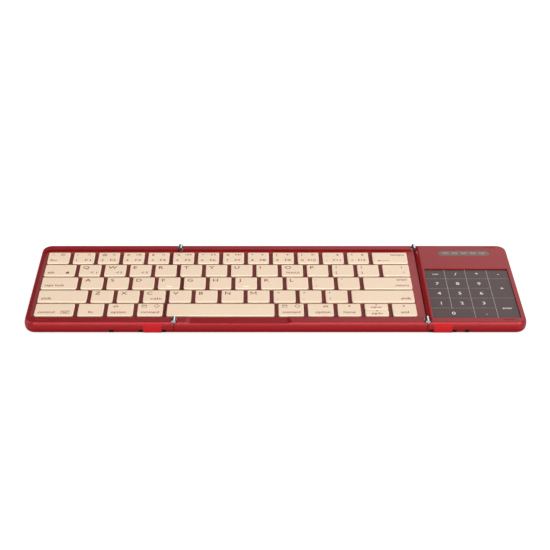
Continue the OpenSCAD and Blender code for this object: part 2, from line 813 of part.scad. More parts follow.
// ---- Right wing ----

glass_x = right_x - glass_side - glass_w;
glass_y = glass_front - back_y;
pill_x = right_x - pill_right;
pill_y = back_y - pill_back;
socket_x = right_x - socket_right;
board_x = right_x - wall - 2 - board_size[0];
board_y = back_y - wall - 1.5 - board_size[1];
board_z = inside_z + post_h;
board_top = board_z + board_size[2];
switch_x = right_x - wall - 1 - switch_size[0];
knob_z = board_top + switch_size[2] / 2;

// The openings in the wing's walls for the charging socket and the switch's knob.
module wall_openings() {
    gap = 0.25;
    translate([socket_x, back_y + past, board_top + socket_size[1] / 2]) rotate([90, 0, 0])
        linear_extrude(wall + 2 * past) pill(socket_size[0] + 2 * gap, socket_size[1] + 2 * gap);
    translate([right_x - wall - past, switch_y - switch_travel / 2 - knob_size[0] / 2 - gap,
            knob_z - knob_size[1] / 2 - gap])
        cube([wall + 2 * past, knob_size[0] + switch_travel + 2 * gap, knob_size[1] + 2 * gap]);
}

module right_top_cover() {
    x0 = right_hinge_x + seam_gap / 2;
    color(red) difference() {
        slab(x0, right_x, part_z, rim_z, right_end = true);
        // The broad rounding along the seam.
        translate([x0, far / 2, rim_z - seam_edge_r]) rotate([90, 0, 0]) linear_extrude(far)
            difference() {
                translate([-past, 0]) square([seam_edge_r + past, seam_edge_r + past]);
                translate([seam_edge_r, 0]) circle(seam_edge_r);
            }
        translate([0, 0, part_z - past]) linear_extrude(cover_z - part_z + past) right_inside();
        translate([0, 0, glass_z]) linear_extrude(rim_z)
            round_rect(glass_x - glass_gap, glass_y - glass_gap, glass_x + glass_w + glass_gap,
                glass_y + glass_d + glass_gap, glass_r + glass_gap);
        translate([glass_x + glass_ledge, glass_y + glass_ledge, cover_z - past])
            cube([glass_w - 2 * glass_ledge, glass_d - 2 * glass_ledge, rim_z]);
        translate([pill_x, pill_y, pill_z]) linear_extrude(rim_z)
            pill(pill_w + 2 * glass_gap, pill_d + 2 * glass_gap);
        translate([pill_x, pill_y, cover_z - past]) linear_extrude(rim_z)
            pill(pill_w - 2, pill_d - 2);
        bumper_slots(right_bumper_x);
        hinge_pockets(right_hinge_x, 1, true);
        wall_openings();
    }
}

module right_case() {
    color(red) difference() {
        union() {
            difference() {
                slab(right_hinge_x + seam_gap / 2, right_x, foot_h, part_z, right_end = true);
                translate([0, 0, inside_z]) linear_extrude(rim_z) right_inside();
            }
            for (x = [4, board_size[0] - 4], y = [4, board_size[1] - 4])
                translate([board_x + x, board_y + y, foot_h + floor_t / 2])
                    cylinder(h = post_h + floor_t / 2, r = post_r);
        }
        wall_openings();
        drain_slots([right_foot_x - drain_w, right_foot_x + foot_w, right_foot_x + foot_w + 9]);
    }
}

module touch_glass() {
    color("dimgray") translate([0, 0, glass_z]) linear_extrude(glass_t)
        round_rect(glass_x, glass_y, glass_x + glass_w, glass_y + glass_d, glass_r);
}

// The sensor board is bonded under the glass, inside the ledge.
module touch_sensor() {
    side = glass_ledge + glass_gap;
    color("darkgreen") translate([glass_x + side, glass_y + side, cover_z])
        cube([glass_w - 2 * side, glass_d - 2 * side, glass_z - cover_z]);
}

module indicator_window() {
    color("gray") translate([pill_x, pill_y, pill_z]) linear_extrude(pill_t) pill(pill_w, pill_d);
}

// A narrow board with the indicator lamps, against the underside of the cover.
module indicator_board() {
    t = 0.8;
    lamp = 1.6;
    color("darkgreen") translate([pill_x, pill_y, cover_z]) {
        translate([2 - pill_w / 2, 1 - pill_d / 2, -t]) cube([pill_w - 4, pill_d - 2, t]);
        for (i = [0:lamp_count - 1])
            translate([(i - (lamp_count - 1) / 2) * (pill_w - pill_d) / lamp_count, 0, 0])
                cube([lamp, lamp, 1], center = true);
    }
}

// Main board with its chips and connectors.
module main_board() {
    color("darkgreen") translate([board_x, board_y, board_z]) {
        cube(board_size);
        translate([0, 0, board_size[2] / 2]) {
            translate([14, 12, 0]) cube([9, 9, 1.6]);
            translate([32, 14, 0]) cube([6, 6, 1.4]);
            translate([3, 20, 0]) cube([4, 9, 1.8]);
            translate([24, 24, 0]) cube([10, 3, 1.8]);
            for (i = [0:4]) translate([26 + 2.2 * i, 8, 0]) cube([1.2, 2, 1]);
        }
    }
}

module battery() {
    color("lightgray") translate([right_x - wall - battery_gap - battery_size[0],
            wall + battery_gap - back_y, inside_z])
        linear_extrude(battery_size[2]) round_rect(0, 0, battery_size[0], battery_size[1], 1.5);
}

// The metal shell of the charging socket with the contact tongue inside.
module charge_socket() {
    w = socket_size[0];
    h = socket_size[1];
    color("silver") translate([socket_x, back_y - 0.2, board_top + h / 2]) rotate([90, 0, 0]) {
        difference() {
            linear_extrude(socket_size[2]) pill(w, h);
            translate([0, 0, -past]) linear_extrude(socket_size[2])
                pill(w - 2 * socket_wall, h - 2 * socket_wall);
        }
        translate([-w / 3, -0.35, 1.2]) cube([2 * w / 3, 0.7, socket_size[2] - 1.5]);
    }
}

module switch_body() {
    color("black") translate([switch_x, switch_y - switch_size[1] / 2, board_top])
        cube(switch_size);
}

// The knob of the power switch, with the flange that keeps it inside the wall.
module power_slider() {
    body_x = switch_x + switch_size[0];
    gap = 0.1;
    y = switch_y + switch_travel / 2 - knob_size[0] / 2;
    color("black") {
        translate([body_x + gap, y - 1, knob_z - knob_size[1] / 2 - 0.5])
            cube([1 - 2 * gap, knob_size[0] + 2, knob_size[1] + 1]);
        translate([body_x + gap, y, knob_z - knob_size[1] / 2])
            cube([1 + wall - gap - 0.05, knob_size[0], knob_size[1]]);
    }
}

module right_foot_strip() {
    foot_strip(right_foot_x);
}
module right_bumpers() {
    bumpers(right_bumper_x);
}
module right_knuckles() {
    color("gainsboro") knuckle(right_hinge_x, 1, true, pin_r + pin_gap);
}

left_top_frame();
left_case();
left_support_plate();
left_membrane();
left_domes();
left_scissors();
left_stabiliser();
left_foot_strip();
left_bumpers();
left_knuckles();
centre_top_frame();
centre_case();
centre_support_plate();
centre_membrane();
centre_domes();
centre_scissors();
centre_stabilisers();
centre_knuckles();
hinge_pins();
right_top_cover();
right_case();
touch_glass();
touch_sensor();
indicator_window();
indicator_board();
main_board();
battery();
charge_socket();
switch_body();
power_slider();
right_foot_strip();
right_bumpers();
right_knuckles();
keys(key_rects(0, 0, 4));  // keys_left_number
keys(key_rects(1, 1, 4));  // keys_left_upper
keys(key_rects(2, 1, 4));  // keys_left_home
keys(key_rects(3, 1, 3));  // keys_left_lower
keys(key_rects(1, 0, 0));  // key_tab
keys(key_rects(2, 0, 0));  // key_caps_lock
keys(key_rects(3, 0, 0));  // key_left_shift
keys(key_rects(4, 0, 0));  // key_left_ctrl
keys(key_rects(4, 1, 1));  // key_fn
keys(key_rects(4, 2, 2));  // key_left_alt
keys(key_rects(4, 3, 3));  // key_left_meta
keys(key_rects(0, 5, 12));  // keys_centre_number
keys(key_rects(1, 5, 12));  // keys_centre_upper
keys(key_rects(2, 5, 11));  // keys_centre_home
keys(key_rects(3, 4, 10));  // keys_centre_lower
keys(key_rects(0, 13, 13));  // key_backspace
keys(key_rects(1, 13, 13));  // key_backslash
keys(key_rects(2, 12, 12));  // key_enter
keys(key_rects(3, 11, 11));  // key_right_shift
keys(key_rects(4, 4, 4));  // key_space
keys(key_rects(4, 5, 5));  // key_right_meta
keys(key_rects(4, 6, 6));  // key_right_alt
keys(key_rects(4, 7, 7));  // key_home
keys([page_rect(true)]);  // key_page_up
keys([page_rect(false)]);  // key_page_down
keys(key_rects(4, 9, 9));  // key_end
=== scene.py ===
"""The looks of a tri-fold folding keyboard: its plastics, metals, glass and printed legends."""
import json
import math
from collections import namedtuple

import bmesh
import bpy
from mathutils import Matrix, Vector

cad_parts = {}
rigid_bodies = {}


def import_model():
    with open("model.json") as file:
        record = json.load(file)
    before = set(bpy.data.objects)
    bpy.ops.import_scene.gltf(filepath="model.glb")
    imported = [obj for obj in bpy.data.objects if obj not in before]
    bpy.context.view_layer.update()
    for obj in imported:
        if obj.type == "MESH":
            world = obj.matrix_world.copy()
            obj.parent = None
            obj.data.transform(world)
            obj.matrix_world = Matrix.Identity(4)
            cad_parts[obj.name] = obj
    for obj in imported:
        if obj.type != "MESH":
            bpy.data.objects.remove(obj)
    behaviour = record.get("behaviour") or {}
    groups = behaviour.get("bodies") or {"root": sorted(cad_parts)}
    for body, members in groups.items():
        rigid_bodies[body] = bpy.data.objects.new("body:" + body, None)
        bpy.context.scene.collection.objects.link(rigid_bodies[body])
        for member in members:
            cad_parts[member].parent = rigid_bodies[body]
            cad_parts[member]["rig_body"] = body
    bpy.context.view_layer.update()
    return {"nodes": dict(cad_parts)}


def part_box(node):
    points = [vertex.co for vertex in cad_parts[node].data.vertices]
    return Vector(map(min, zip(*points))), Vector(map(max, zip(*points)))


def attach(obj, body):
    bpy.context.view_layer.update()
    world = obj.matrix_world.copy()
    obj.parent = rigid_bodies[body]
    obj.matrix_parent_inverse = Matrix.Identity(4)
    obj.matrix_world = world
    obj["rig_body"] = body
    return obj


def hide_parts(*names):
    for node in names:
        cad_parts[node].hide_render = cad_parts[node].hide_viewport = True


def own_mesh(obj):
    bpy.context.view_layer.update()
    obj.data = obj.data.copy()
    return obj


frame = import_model()
nodes = frame["nodes"]
MM = 0.001
# The hinge barrels' radius and the length of one pair of knuckles.
BARREL_R = 1.5 * MM
BARREL_L = 5.3 * MM
# The width of the seams between the panels.
SEAM = 0.5 * MM

# ---- Colours ----


def screen(red, green, blue):
    """A colour given by its values on a screen, from 0 to 255, as a linear colour."""
    def linear(value):
        share = value / 255
        return share / 12.92 if share <= 0.04045 else ((share + 0.055) / 1.055) ** 2.4
    return (linear(red), linear(green), linear(blue), 1.0)


RED = screen(135, 8, 15)
RED_DEEP = screen(127, 6, 13)
RIM_SHEEN = (1.0, 0.24, 0.26, 1.0)
DECK_RED = screen(152, 67, 68)
# Painted shade on the deck between the keys, where the keys shade it.
DECK_PAINTED_SHADE = screen(114, 48, 48)
FOOT_RED = screen(186, 16, 25)
CREAM = screen(246, 220, 193)
# A paler cream: the homing bars' own colour, and the painted highlight on the keys' rounded edges.
CREAM_PALE_AND_HIGHLIGHT = screen(250, 233, 204)
# Painted shade low on the keys' sides, where the neighbouring keys shade them.
CREAM_PAINTED_SHADE = screen(186, 142, 120)
INK = screen(140, 58, 46)
POCKET_BLACK = screen(16, 14, 14)
GLASS_BLACK = screen(74, 55, 54)
PRINT_WHITE = screen(232, 228, 226)
PRINT_GREY = screen(168, 160, 158)
WINDOW_GREY = screen(121, 93, 88)
CHROME = screen(204, 204, 206)
# A dark reflection painted on the barrels' flanks.
CHROME_PAINTED_REFLECTION = screen(34, 34, 36)

# ---- Shader building ----


def feed(tree, socket, value):
    """Sets a socket to a value, or links an output to it."""
    if isinstance(value, bpy.types.NodeSocket):
        tree.links.new(value, socket)
    else:
        socket.default_value = value


def fill(tree, node, **sockets):
    """Sets a node's sockets, named with _ for each space."""
    for name, value in sockets.items():
        feed(tree, node.inputs[name.replace("_", " ")], value)


def calculate(tree, operation, first, second=0.0):
    """A number worked out from two others."""
    node = tree.nodes.new("ShaderNodeMath")
    node.operation = operation
    feed(tree, node.inputs[0], first)
    feed(tree, node.inputs[1], second)
    return node.outputs[0]


def map_range(tree, *values, interpolation="LINEAR"):
    """A value mapped from one range to another, and held there."""
    node = tree.nodes.new("ShaderNodeMapRange")
    node.interpolation_type = interpolation
    for index, value in enumerate(values):
        feed(tree, node.inputs[index], value)
    return node.outputs[0]


class Recipe:
    """A material in the making: its node tree and its principled shader."""

    def __init__(self, name, **sockets):
        self.material = bpy.data.materials.new(name)
        self.material.use_nodes = True
        self.tree = self.material.node_tree
        self.shader = self.tree.nodes["Principled BSDF"]
        fill(self.tree, self.shader, **sockets)

    def place(self, group, **values):
        """Puts a node group in the material and returns its outputs."""
        node = self.tree.nodes.new("ShaderNodeGroup")
        node.node_tree = group
        fill(self.tree, node, **values)
        return node.outputs

    def wear(self, outputs, height=0.0):
        """Takes a group's colour and roughness, and its bumps, which are so many metres high."""
        for label, socket in (("Colour", "Base Color"), ("Roughness", "Roughness")):
            if label in outputs:
                self.tree.links.new(outputs[label], self.shader.inputs[socket])
        if height:
            node = self.tree.nodes.new("ShaderNodeBump")
            fill(self.tree, node, Distance=height, Height=outputs["Height"])
            self.tree.links.new(node.outputs["Normal"], self.shader.inputs["Normal"])

    def worn(self, socket):
        """What a socket of the shader has now: an output or a value."""
        target = self.shader.inputs[socket]
        return target.links[0].from_socket if target.links else target.default_value

    def lay_over(self, mask, colour, roughness=None):
        """Puts a colour, and a roughness if given, over what the shader has where a mask is 1."""
        for socket, kind, value in (("Base Color", "RGBA", colour), ("Roughness", "FLOAT", roughness)):
            if value is not None:
                mix = self.tree.nodes.new("ShaderNodeMix")
                mix.data_type = kind
                fill(self.tree, mix, Factor=mask, A=self.worn(socket), B=value)
                self.tree.links.new(mix.outputs["Result"], self.shader.inputs[socket])


class Effect:
    """A node group in the making, with named inputs and outputs."""

    def __init__(self, name, inputs, *outputs):
        self.group = bpy.data.node_groups.new(name, "ShaderNodeTree")
        socket = self.group.interface.new_socket
        for label, value in inputs.items():
            kind = "Float" if isinstance(value, float) else {3: "Vector", 4: "Color"}[len(value)]
            made = socket(label, in_out="INPUT", socket_type="NodeSocket" + kind)
            made.default_value = value
        for label in outputs:
            kind = "Color" if label == "Colour" else "Float"
            socket(label, in_out="OUTPUT", socket_type="NodeSocket" + kind)
        self.given = self.add("NodeGroupInput").outputs
        self.result = self.add("NodeGroupOutput").inputs

    def add(self, kind, **settings):
        node = self.group.nodes.new(kind)
        for name, value in settings.items():
            setattr(node, name, value)
        return node

    def give(self, label, output):
        """Sends an output out of the group."""
        self.group.links.new(output, self.result[label])

    def math(self, operation, first, second=0.0):
        return calculate(self.group, operation, first, second)

    def spread(self, value, low, high, to_low, to_high):
        return map_range(self.group, value, low, high, to_low, to_high)

    def blend(self, share, first, second):
        """Mixes two colours by a share from 0 to 1."""
        node = self.add("ShaderNodeMix", data_type="RGBA")
        fill(self.group, node, Factor=share, A=first, B=second)
        return node.outputs["Result"]

    def place_on(self, stretch=(1, 1, 1)):
        """The place on the object in metres, stretched along each axis."""
        node = self.add("ShaderNodeMapping")
        coordinates = self.add("ShaderNodeTexCoord").outputs["Object"]
        fill(self.group, node, Vector=coordinates, Scale=stretch)
        return node.outputs["Vector"]

    def noise(self, vector, scale, detail=2.0):
        node = self.add("ShaderNodeTexNoise")
        fill(self.group, node, Vector=vector, Scale=scale, Detail=detail)
        return node.outputs["Fac"]

    def part(self, vector, axis):
        """One coordinate of a vector."""
        node = self.add("ShaderNodeSeparateXYZ")
        fill(self.group, node, Vector=vector)
        return node.outputs[axis]

    def height(self):
        return self.part(self.place_on(), "Z")

    def facing(self, axis):
        """How far the surface faces along an axis, from -1 to 1."""
        return self.part(self.add("ShaderNodeTexCoord").outputs["Normal"], axis)


def moulding_effect():
    """Moulded plastic: slow clouds in the colour, a fine grain and faint wiping marks."""
    inputs = {
        "Colour": (0.5, 0.5, 0.5, 1), "Deep colour": (0.4, 0.4, 0.4, 1), "Roughness": 0.3,
        "Grain scale": 3000.0, "Wiping": 0.05,
    }
    effect = Effect("Moulding", inputs, "Colour", "Roughness", "Height")
    place = effect.place_on()
    share = effect.spread(effect.noise(place, 28.0, 3.0), 0.35, 0.7, 0.0, 0.5)
    effect.give("Colour", effect.blend(share, effect.given["Colour"], effect.given["Deep colour"]))
    streaks = effect.noise(effect.place_on((90, 900, 90)), 1.0, 4.0)
    wiped = effect.math("MULTIPLY", effect.spread(streaks, 0.45, 0.7, 0, 1), effect.given["Wiping"])
    effect.give("Roughness", effect.math("ADD", effect.given["Roughness"], wiped))
    effect.give("Height", effect.noise(place, effect.given["Grain scale"], 1.5))
    return effect.group


def edge_tone_effect():
    """A second colour where a face turns away from straight up, as on rounded edges and sides: painted
    light, lighter there for a highlight and darker for shade.
    """
    inputs = {"Colour": (1, 1, 1, 1), "Edge colour": (1, 1, 1, 1)}
    effect = Effect("Painted edge light", inputs, "Colour")
    share = effect.spread(effect.facing("Z"), 0.98, 0.6, 0.0, 1.0)
    effect.give("Colour", effect.blend(share, effect.given["Colour"], effect.given["Edge colour"]))
    return effect.group


def rubbed_effect():
    """Metal with fine lines along X and a few dull spots."""
    effect = Effect("Rubbed metal", {"Roughness": 0.3, "Lines": 0.1}, "Roughness", "Height")
    lines = effect.noise(effect.place_on((60, 6000, 6000)), 1.0, 3.0)
    spots = effect.spread(effect.noise(effect.place_on(), 220.0, 2.0), 0.55, 0.75, 0.0, 0.12)
    dulled = effect.math("ADD", effect.given["Roughness"], spots)
    lined = effect.math("MULTIPLY", lines, effect.given["Lines"])
    effect.give("Roughness", effect.math("ADD", dulled, lined))
    effect.give("Height", lines)
    return effect.group


def traces_effect():
    """Printed tracks: thin lines that run square to each other."""
    inputs = {"Ground": (0, 0.1, 0.02, 1), "Track": (0.1, 0.3, 0.1, 1), "Scale": 300.0}
    effect = Effect("Printed tracks", inputs, "Colour", "Height")
    brick = effect.add("ShaderNodeTexBrick", offset=0.37, squash=1.6, squash_frequency=3)
    ground = effect.given["Ground"]
    fill(
        effect.group, brick, Vector=effect.place_on(), Scale=effect.given["Scale"],
        Color1=ground, Color2=ground, Mortar=effect.given["Track"], Mortar_Size=0.06,
    )
    effect.give("Colour", brick.outputs["Color"])
    effect.give("Height", brick.outputs["Fac"])
    return effect.group


def smudge_effect():
    """Glass that fingers touch: faint dull patches."""
    effect = Effect("Smudges", {"Roughness": 0.1}, "Roughness")
    patches = effect.noise(effect.place_on(), 70.0, 5.0)
    dull = effect.spread(patches, 0.5, 0.75, 0.0, 0.08)
    effect.give("Roughness", effect.math("ADD", effect.given["Roughness"], dull))
    return effect.group


def height_mask_effect():
    """Tells what stands above a level, as 1 above it and 0 below."""
    effect = Effect("Above a level", {"Level": 0.0}, "Mask")
    effect.give("Mask", effect.math("GREATER_THAN", effect.height(), effect.given["Level"]))
    return effect.group


def floor_mask_effect():
    """Tells what faces up below a level, as 1 there and 0 elsewhere."""
    effect = Effect("Floor below a level", {"Level": 0.0}, "Mask")
    upward = effect.math("GREATER_THAN", effect.facing("Z"), 0.9)
    below = effect.math("LESS_THAN", effect.height(), effect.given["Level"])
    effect.give("Mask", effect.math("MULTIPLY", upward, below))
    return effect.group


def flank_mask_effect():
    """Tells what faces left or right, as 1 there and 0 on what faces up, front or back."""
    effect = Effect("Flanks", {"Start": 0.5, "End": 0.8}, "Mask")
    away = effect.math("ABSOLUTE", effect.facing("X"))
    effect.give("Mask", effect.spread(away, effect.given["Start"], effect.given["End"], 0.0, 1.0))
    return effect.group


def box_mask_effect():
    """Tells what lies inside a box, as 1 there and 0 outside."""
    effect = Effect("Inside a box", {"Centre": (0, 0, 0), "Half size": (1, 1, 1)}, "Mask")
    place = effect.place_on()
    widest = -1.0
    for axis in "XYZ":
        centre, half = (effect.part(effect.given[name], axis) for name in ("Centre", "Half size"))
        away = effect.math("ABSOLUTE", effect.math("SUBTRACT", effect.part(place, axis), centre))
        widest = effect.math("MAXIMUM", widest, effect.math("SUBTRACT", away, half))
    effect.give("Mask", effect.math("LESS_THAN", widest, 0.0))
    return effect.group


def foot_tone_effect():
    """Painted shade: a second colour that comes in downward, from one height to another."""
    inputs = {"Colour": (1, 1, 1, 1), "Foot colour": (0, 0, 0, 1), "Start": 0.0, "End": -1.0}
    effect = Effect("Painted foot shade", inputs, "Colour")
    start, end = effect.given["Start"], effect.given["End"]
    share = effect.spread(effect.height(), start, end, 0.0, 1.0)
    effect.give("Colour", effect.blend(share, effect.given["Colour"], effect.given["Foot colour"]))
    return effect.group


MOULDING = moulding_effect()
PAINTED_EDGE_LIGHT = edge_tone_effect()
RUBBED = rubbed_effect()
TRACES = traces_effect()
SMUDGES = smudge_effect()
ABOVE = height_mask_effect()
SUNKEN = floor_mask_effect()
FLANKS = flank_mask_effect()
INSIDE = box_mask_effect()
PAINTED_FOOT_SHADE = foot_tone_effect()

# ---- Materials ----

# How far the sunken deck starts below the tops of the rims.
DECK_DROP = 1.5 * MM
# Room round the barrels in their black pockets: beside them, at their ends and at the top.
POCKET_ROOM = 0.65 * MM
POCKET_END = 0.3 * MM
POCKET_DROP = 0.12 * MM
# Where the painted shade low on a key's sides starts and is full, below its top.
FOOT_SHADE_START = 0.6 * MM
FOOT_SHADE_FULL = 1.2 * MM
# How high the small parts of a board stand.
BATTERY_TO_BOARD_TOP = 1.95 * MM
LAMP_H = 0.5 * MM
# A level that nothing reaches, for a board with no parts on it.
NO_LEVEL = 1.0


def moulded(name, colour, deep, roughness, grain_scale, grain_height, wiping=0.04, **sockets):
    """A moulded plastic or rubber."""
    recipe = Recipe(name, **sockets)
    moulding = recipe.place(
        MOULDING, Colour=colour, Deep_colour=deep, Roughness=roughness,
        Grain_scale=grain_scale, Wiping=wiping,
    )
    recipe.wear(moulding, grain_height)
    return recipe


def box_mask(recipe, low, high):
    """The mask of a box given by two of its corners."""
    centre = [(a + b) / 2 for a, b in zip(low, high)]
    half = [(b - a) / 2 for a, b in zip(low, high)]
    return recipe.place(INSIDE, Centre=centre, Half_size=half)["Mask"]


def red_rims():
    """Satin red rims round a sunken deck of matt red, with painted shade on the deck between the keys,
    and black pockets for the barrels.
    """
    recipe = moulded(
        "red_rims", RED, RED_DEEP, 0.36, 900.0, 0.0015 * MM, 0.01,
        Specular_IOR_Level=1.0, Specular_Tint=RIM_SHEEN,
    )
    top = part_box("centre_top_frame")[1].z
    level = top - DECK_DROP
    recipe.lay_over(recipe.place(SUNKEN, Level=level)["Mask"], DECK_RED, 0.6)
    # Painted shade: the deck within the key field is darkened as if the keys shaded it.
    first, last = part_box("key_left_ctrl")[0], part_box("key_backspace")[1]
    shaded_key_field = box_mask(recipe, (first.x, first.y, 0.0), (last.x, last.y, level))
    recipe.lay_over(shaded_key_field, DECK_PAINTED_SHADE, 0.6)
    low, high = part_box("hinge_pins")
    pin_r = (high.z - low.z) / 2
    reach = BARREL_R + POCKET_ROOM
    for x in (low.x + pin_r, high.x - pin_r):
        for way in (-1, 1):
            ends = (way * (high.y + POCKET_END), way * (high.y - BARREL_L - POCKET_END))
            pocket = box_mask(
                recipe, (x - reach, min(ends), 0.0), (x + reach, max(ends), top - POCKET_DROP),
            )
            recipe.lay_over(pocket, POCKET_BLACK, 0.5)
    return recipe.material


def red_rubber():
    """Matt red silicone of the foot strips."""
    return moulded(
        "red_rubber", FOOT_RED, screen(176, 15, 23), 0.62, 2600.0, 0.01 * MM,
        Specular_IOR_Level=0.15, Sheen_Weight=0.05,
    ).material


def bumper_rubber():
    """Matt red inserts in the rims, with painted shade along their edges."""
    recipe = moulded(
        "bumper_rubber", screen(158, 44, 50), screen(150, 40, 46), 0.6, 2600.0, 0.02 * MM,
        Specular_IOR_Level=0.1,
    )
    body = recipe.worn("Base Color")
    # Painted shade: the edges of the inserts are darkened as if shaded in their recesses.
    recipe.wear(recipe.place(PAINTED_EDGE_LIGHT, Colour=body, Edge_colour=screen(70, 8, 12)))
    return recipe.material


def key_plastic():
    """Satin cream keys, with a painted highlight on their rounded edges and painted shade low on their
    sides.
    """
    recipe = moulded(
        "key_plastic", CREAM, screen(240, 214, 186), 0.42, 2400.0, 0.008 * MM, 0.05,
        Specular_IOR_Level=0.35,
    )
    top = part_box("key_tab")[1].z
    # Painted highlight: the rounded edges and sides are paler, as if the light caught them.
    edge = recipe.place(PAINTED_EDGE_LIGHT, Colour=recipe.worn("Base Color"), Edge_colour=CREAM_PALE_AND_HIGHLIGHT)
    # Painted shade low on the sides, darkening towards the deck.
    recipe.wear(recipe.place(
        PAINTED_FOOT_SHADE, Colour=edge["Colour"], Foot_colour=CREAM_PAINTED_SHADE,
        Start=top - FOOT_SHADE_START, End=top - FOOT_SHADE_FULL,
    ))
    return recipe.material


def ink(name, colour, deep):
    """Printed ink."""
    return moulded(name, colour, deep, 0.5, 5000.0, 0.002 * MM, Specular_IOR_Level=0.3).material


def chrome():
    """Polished barrels with fine turning lines, and a dark reflection painted low on their flanks."""
    recipe = Recipe("chrome", Base_Color=CHROME, Metallic=1.0)
    # Painted reflection: the flanks take a dark colour, as if they mirrored something dark.
    recipe.lay_over(recipe.place(FLANKS, Start=0.45, End=0.75)["Mask"], CHROME_PAINTED_REFLECTION)
    recipe.wear(recipe.place(RUBBED, Roughness=0.07, Lines=0.06), 0.003 * MM)
    return recipe.material


def rubbed_metal(name, colour, roughness, lines):
    """Sheet or wire metal of the inner parts."""
    recipe = Recipe(name, Base_Color=colour, Metallic=1.0)
    recipe.wear(recipe.place(RUBBED, Roughness=roughness, Lines=lines), 0.004 * MM)
    return recipe.material


def touched_glass(name, colour, roughness):
    """Tinted glass with faint finger marks."""
    recipe = Recipe(name, Base_Color=colour, Specular_IOR_Level=0.22)
    recipe.wear(recipe.place(SMUDGES, Roughness=roughness))
    return recipe.material


def printed_film(name, ground, track, scale, roughness):
    """A film or a board with printed tracks."""
    recipe = Recipe(name, Roughness=roughness)
    recipe.wear(recipe.place(TRACES, Ground=ground, Track=track, Scale=scale), 0.02 * MM)
    return recipe


def board(name, top):
    """A green circuit board whose parts stand above its top as black blocks."""
    recipe = printed_film(name, screen(16, 72, 40), screen(58, 122, 66), 260.0, 0.4)
    recipe.lay_over(recipe.place(ABOVE, Level=top)["Mask"], screen(30, 30, 32))
    return recipe.material


def plain_plastic(name, colour, deep, roughness):
    """A small technical moulding inside the keyboard."""
    return moulded(name, colour, deep, roughness, 1800.0, 0.01 * MM).material


def dress(material, *names):
    """Gives CAD nodes their material."""
    for name in names:
        for place in nodes[name].material_slots:
            place.material = material


def dress_outside():
    """The finish of the nodes that show."""
    dress(red_rims(), "left_top_frame", "centre_top_frame", "right_top_cover")
    case = moulded(
        "red_case", RED, RED_DEEP, 0.4, 900.0, 0.0015 * MM, 0.01, Specular_IOR_Level=0.12,
    )
    dress(case.material, "left_case", "centre_case", "right_case")
    dress(key_plastic(), *(name for name in nodes if name.startswith("key")))
    dress(bumper_rubber(), "left_bumpers", "right_bumpers")
    dress(chrome(), "left_knuckles", "centre_knuckles", "right_knuckles", "hinge_pins")
    dress(touched_glass("touch_glass", GLASS_BLACK, 0.14), "touch_glass")
    dress(touched_glass("indicator_grey", WINDOW_GREY, 0.2), "indicator_window")


def dress_inside():
    """The finish of the nodes inside the shells."""
    steel = rubbed_metal("support_steel", screen(186, 188, 190), 0.38, 0.15)
    wire = rubbed_metal("spring_wire", screen(200, 200, 202), 0.22, 0.1)
    shell = rubbed_metal("socket_metal", screen(190, 190, 194), 0.26, 0.12)
    film = printed_film("membrane_film", screen(196, 214, 196), screen(120, 128, 124), 240.0, 0.3)
    silicone = plain_plastic("dome_silicone", screen(226, 224, 218), screen(210, 208, 204), 0.5)
    lift = plain_plastic("lift_plastic", screen(232, 232, 228), screen(222, 222, 220), 0.35)
    black = plain_plastic("black_plastic", screen(26, 26, 28), screen(18, 18, 20), 0.36)
    foil = moulded(
        "battery_foil", screen(190, 192, 196), screen(168, 170, 176), 0.34, 140.0, 0.1 * MM,
        0.1, Metallic=0.85,
    )
    board_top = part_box("battery")[0].z + BATTERY_TO_BOARD_TOP
    lamps_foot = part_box("indicator_board")[1].z - LAMP_H
    dress(steel, "left_support_plate", "centre_support_plate")
    dress(film.material, "left_membrane", "centre_membrane")
    dress(silicone, "left_domes", "centre_domes")
    dress(lift, "left_scissors", "centre_scissors")
    dress(wire, "left_stabiliser", "centre_stabilisers")
    dress(board("main_board_green", board_top), "main_board")
    dress(board("indicator_board_green", lamps_foot), "indicator_board")
    dress(board("sensor_board_green", NO_LEVEL), "touch_sensor")
    dress(foil.material, "battery")
    dress(shell, "charge_socket")
    dress(black, "switch_body", "power_slider")


# ---- Pieces ----


def show(name, data):
    """Makes an object of a mesh, a curve, a camera or a lamp, and puts it in the scene."""
    made = bpy.data.objects.new(name, data)
    bpy.context.scene.collection.objects.link(made)
    return made


def make_piece(name, mesh, body, material):
    """Makes a finished bmesh a piece of one material that rides on a body."""
    data = bpy.data.meshes.new(name)
    mesh.to_mesh(data)
    mesh.free()
    data.materials.append(material)
    made = show(name, data)
    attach(made, body)
    return made


# ---- Printed marks ----

Key = namedtuple("Key", "left front right back top")
INK_RISE = 0.02 * MM
INK_SINK = 0.03 * MM
CIRCLE_STEPS = 20
# A gap wider than this parts two key caps.
CAP_GAP = 0.1 * MM
# The height of a capital letter in the built-in font, as a share of its size.
CAPITAL = 0.729
# How much each stroke grows on each side, as a share of a letter's height.
BOLD = 0.012


def word_mesh(text, height):
    """A word as a thin closed mesh, with its baseline on the X axis."""
    curve = bpy.data.curves.new("word", "FONT")
    curve.body = text
    curve.size = height / CAPITAL
    curve.extrude = (INK_RISE + INK_SINK) / 2
    curve.offset = BOLD * height
    curve.resolution_u = 3
    carrier = show("word", curve)
    view = bpy.context.evaluated_depsgraph_get()
    mesh = bpy.data.meshes.new_from_object(carrier.evaluated_get(view))
    bpy.data.objects.remove(carrier)
    bpy.data.curves.remove(curve)
    return mesh


def on_circle(radius, turn):
    """The point of a circle after a share of a full turn."""
    return (radius * math.cos(math.tau * turn), radius * math.sin(math.tau * turn))


def add_tube(mesh, lines, closed=False):
    """Joins lines of points into a tube: a ring, or a length with two flat ends."""
    rows = [[mesh.verts.new(point) for point in line] for line in lines]
    count = len(rows[0])
    for first, second in zip(rows, rows[1:] + rows[:1]):
        for i in range(count if closed else count - 1):
            j = (i + 1) % count
            mesh.faces.new((first[i], second[i], second[j], first[j]))
    if not closed:
        mesh.faces.new([row[0] for row in reversed(rows)])
        mesh.faces.new([row[-1] for row in rows])


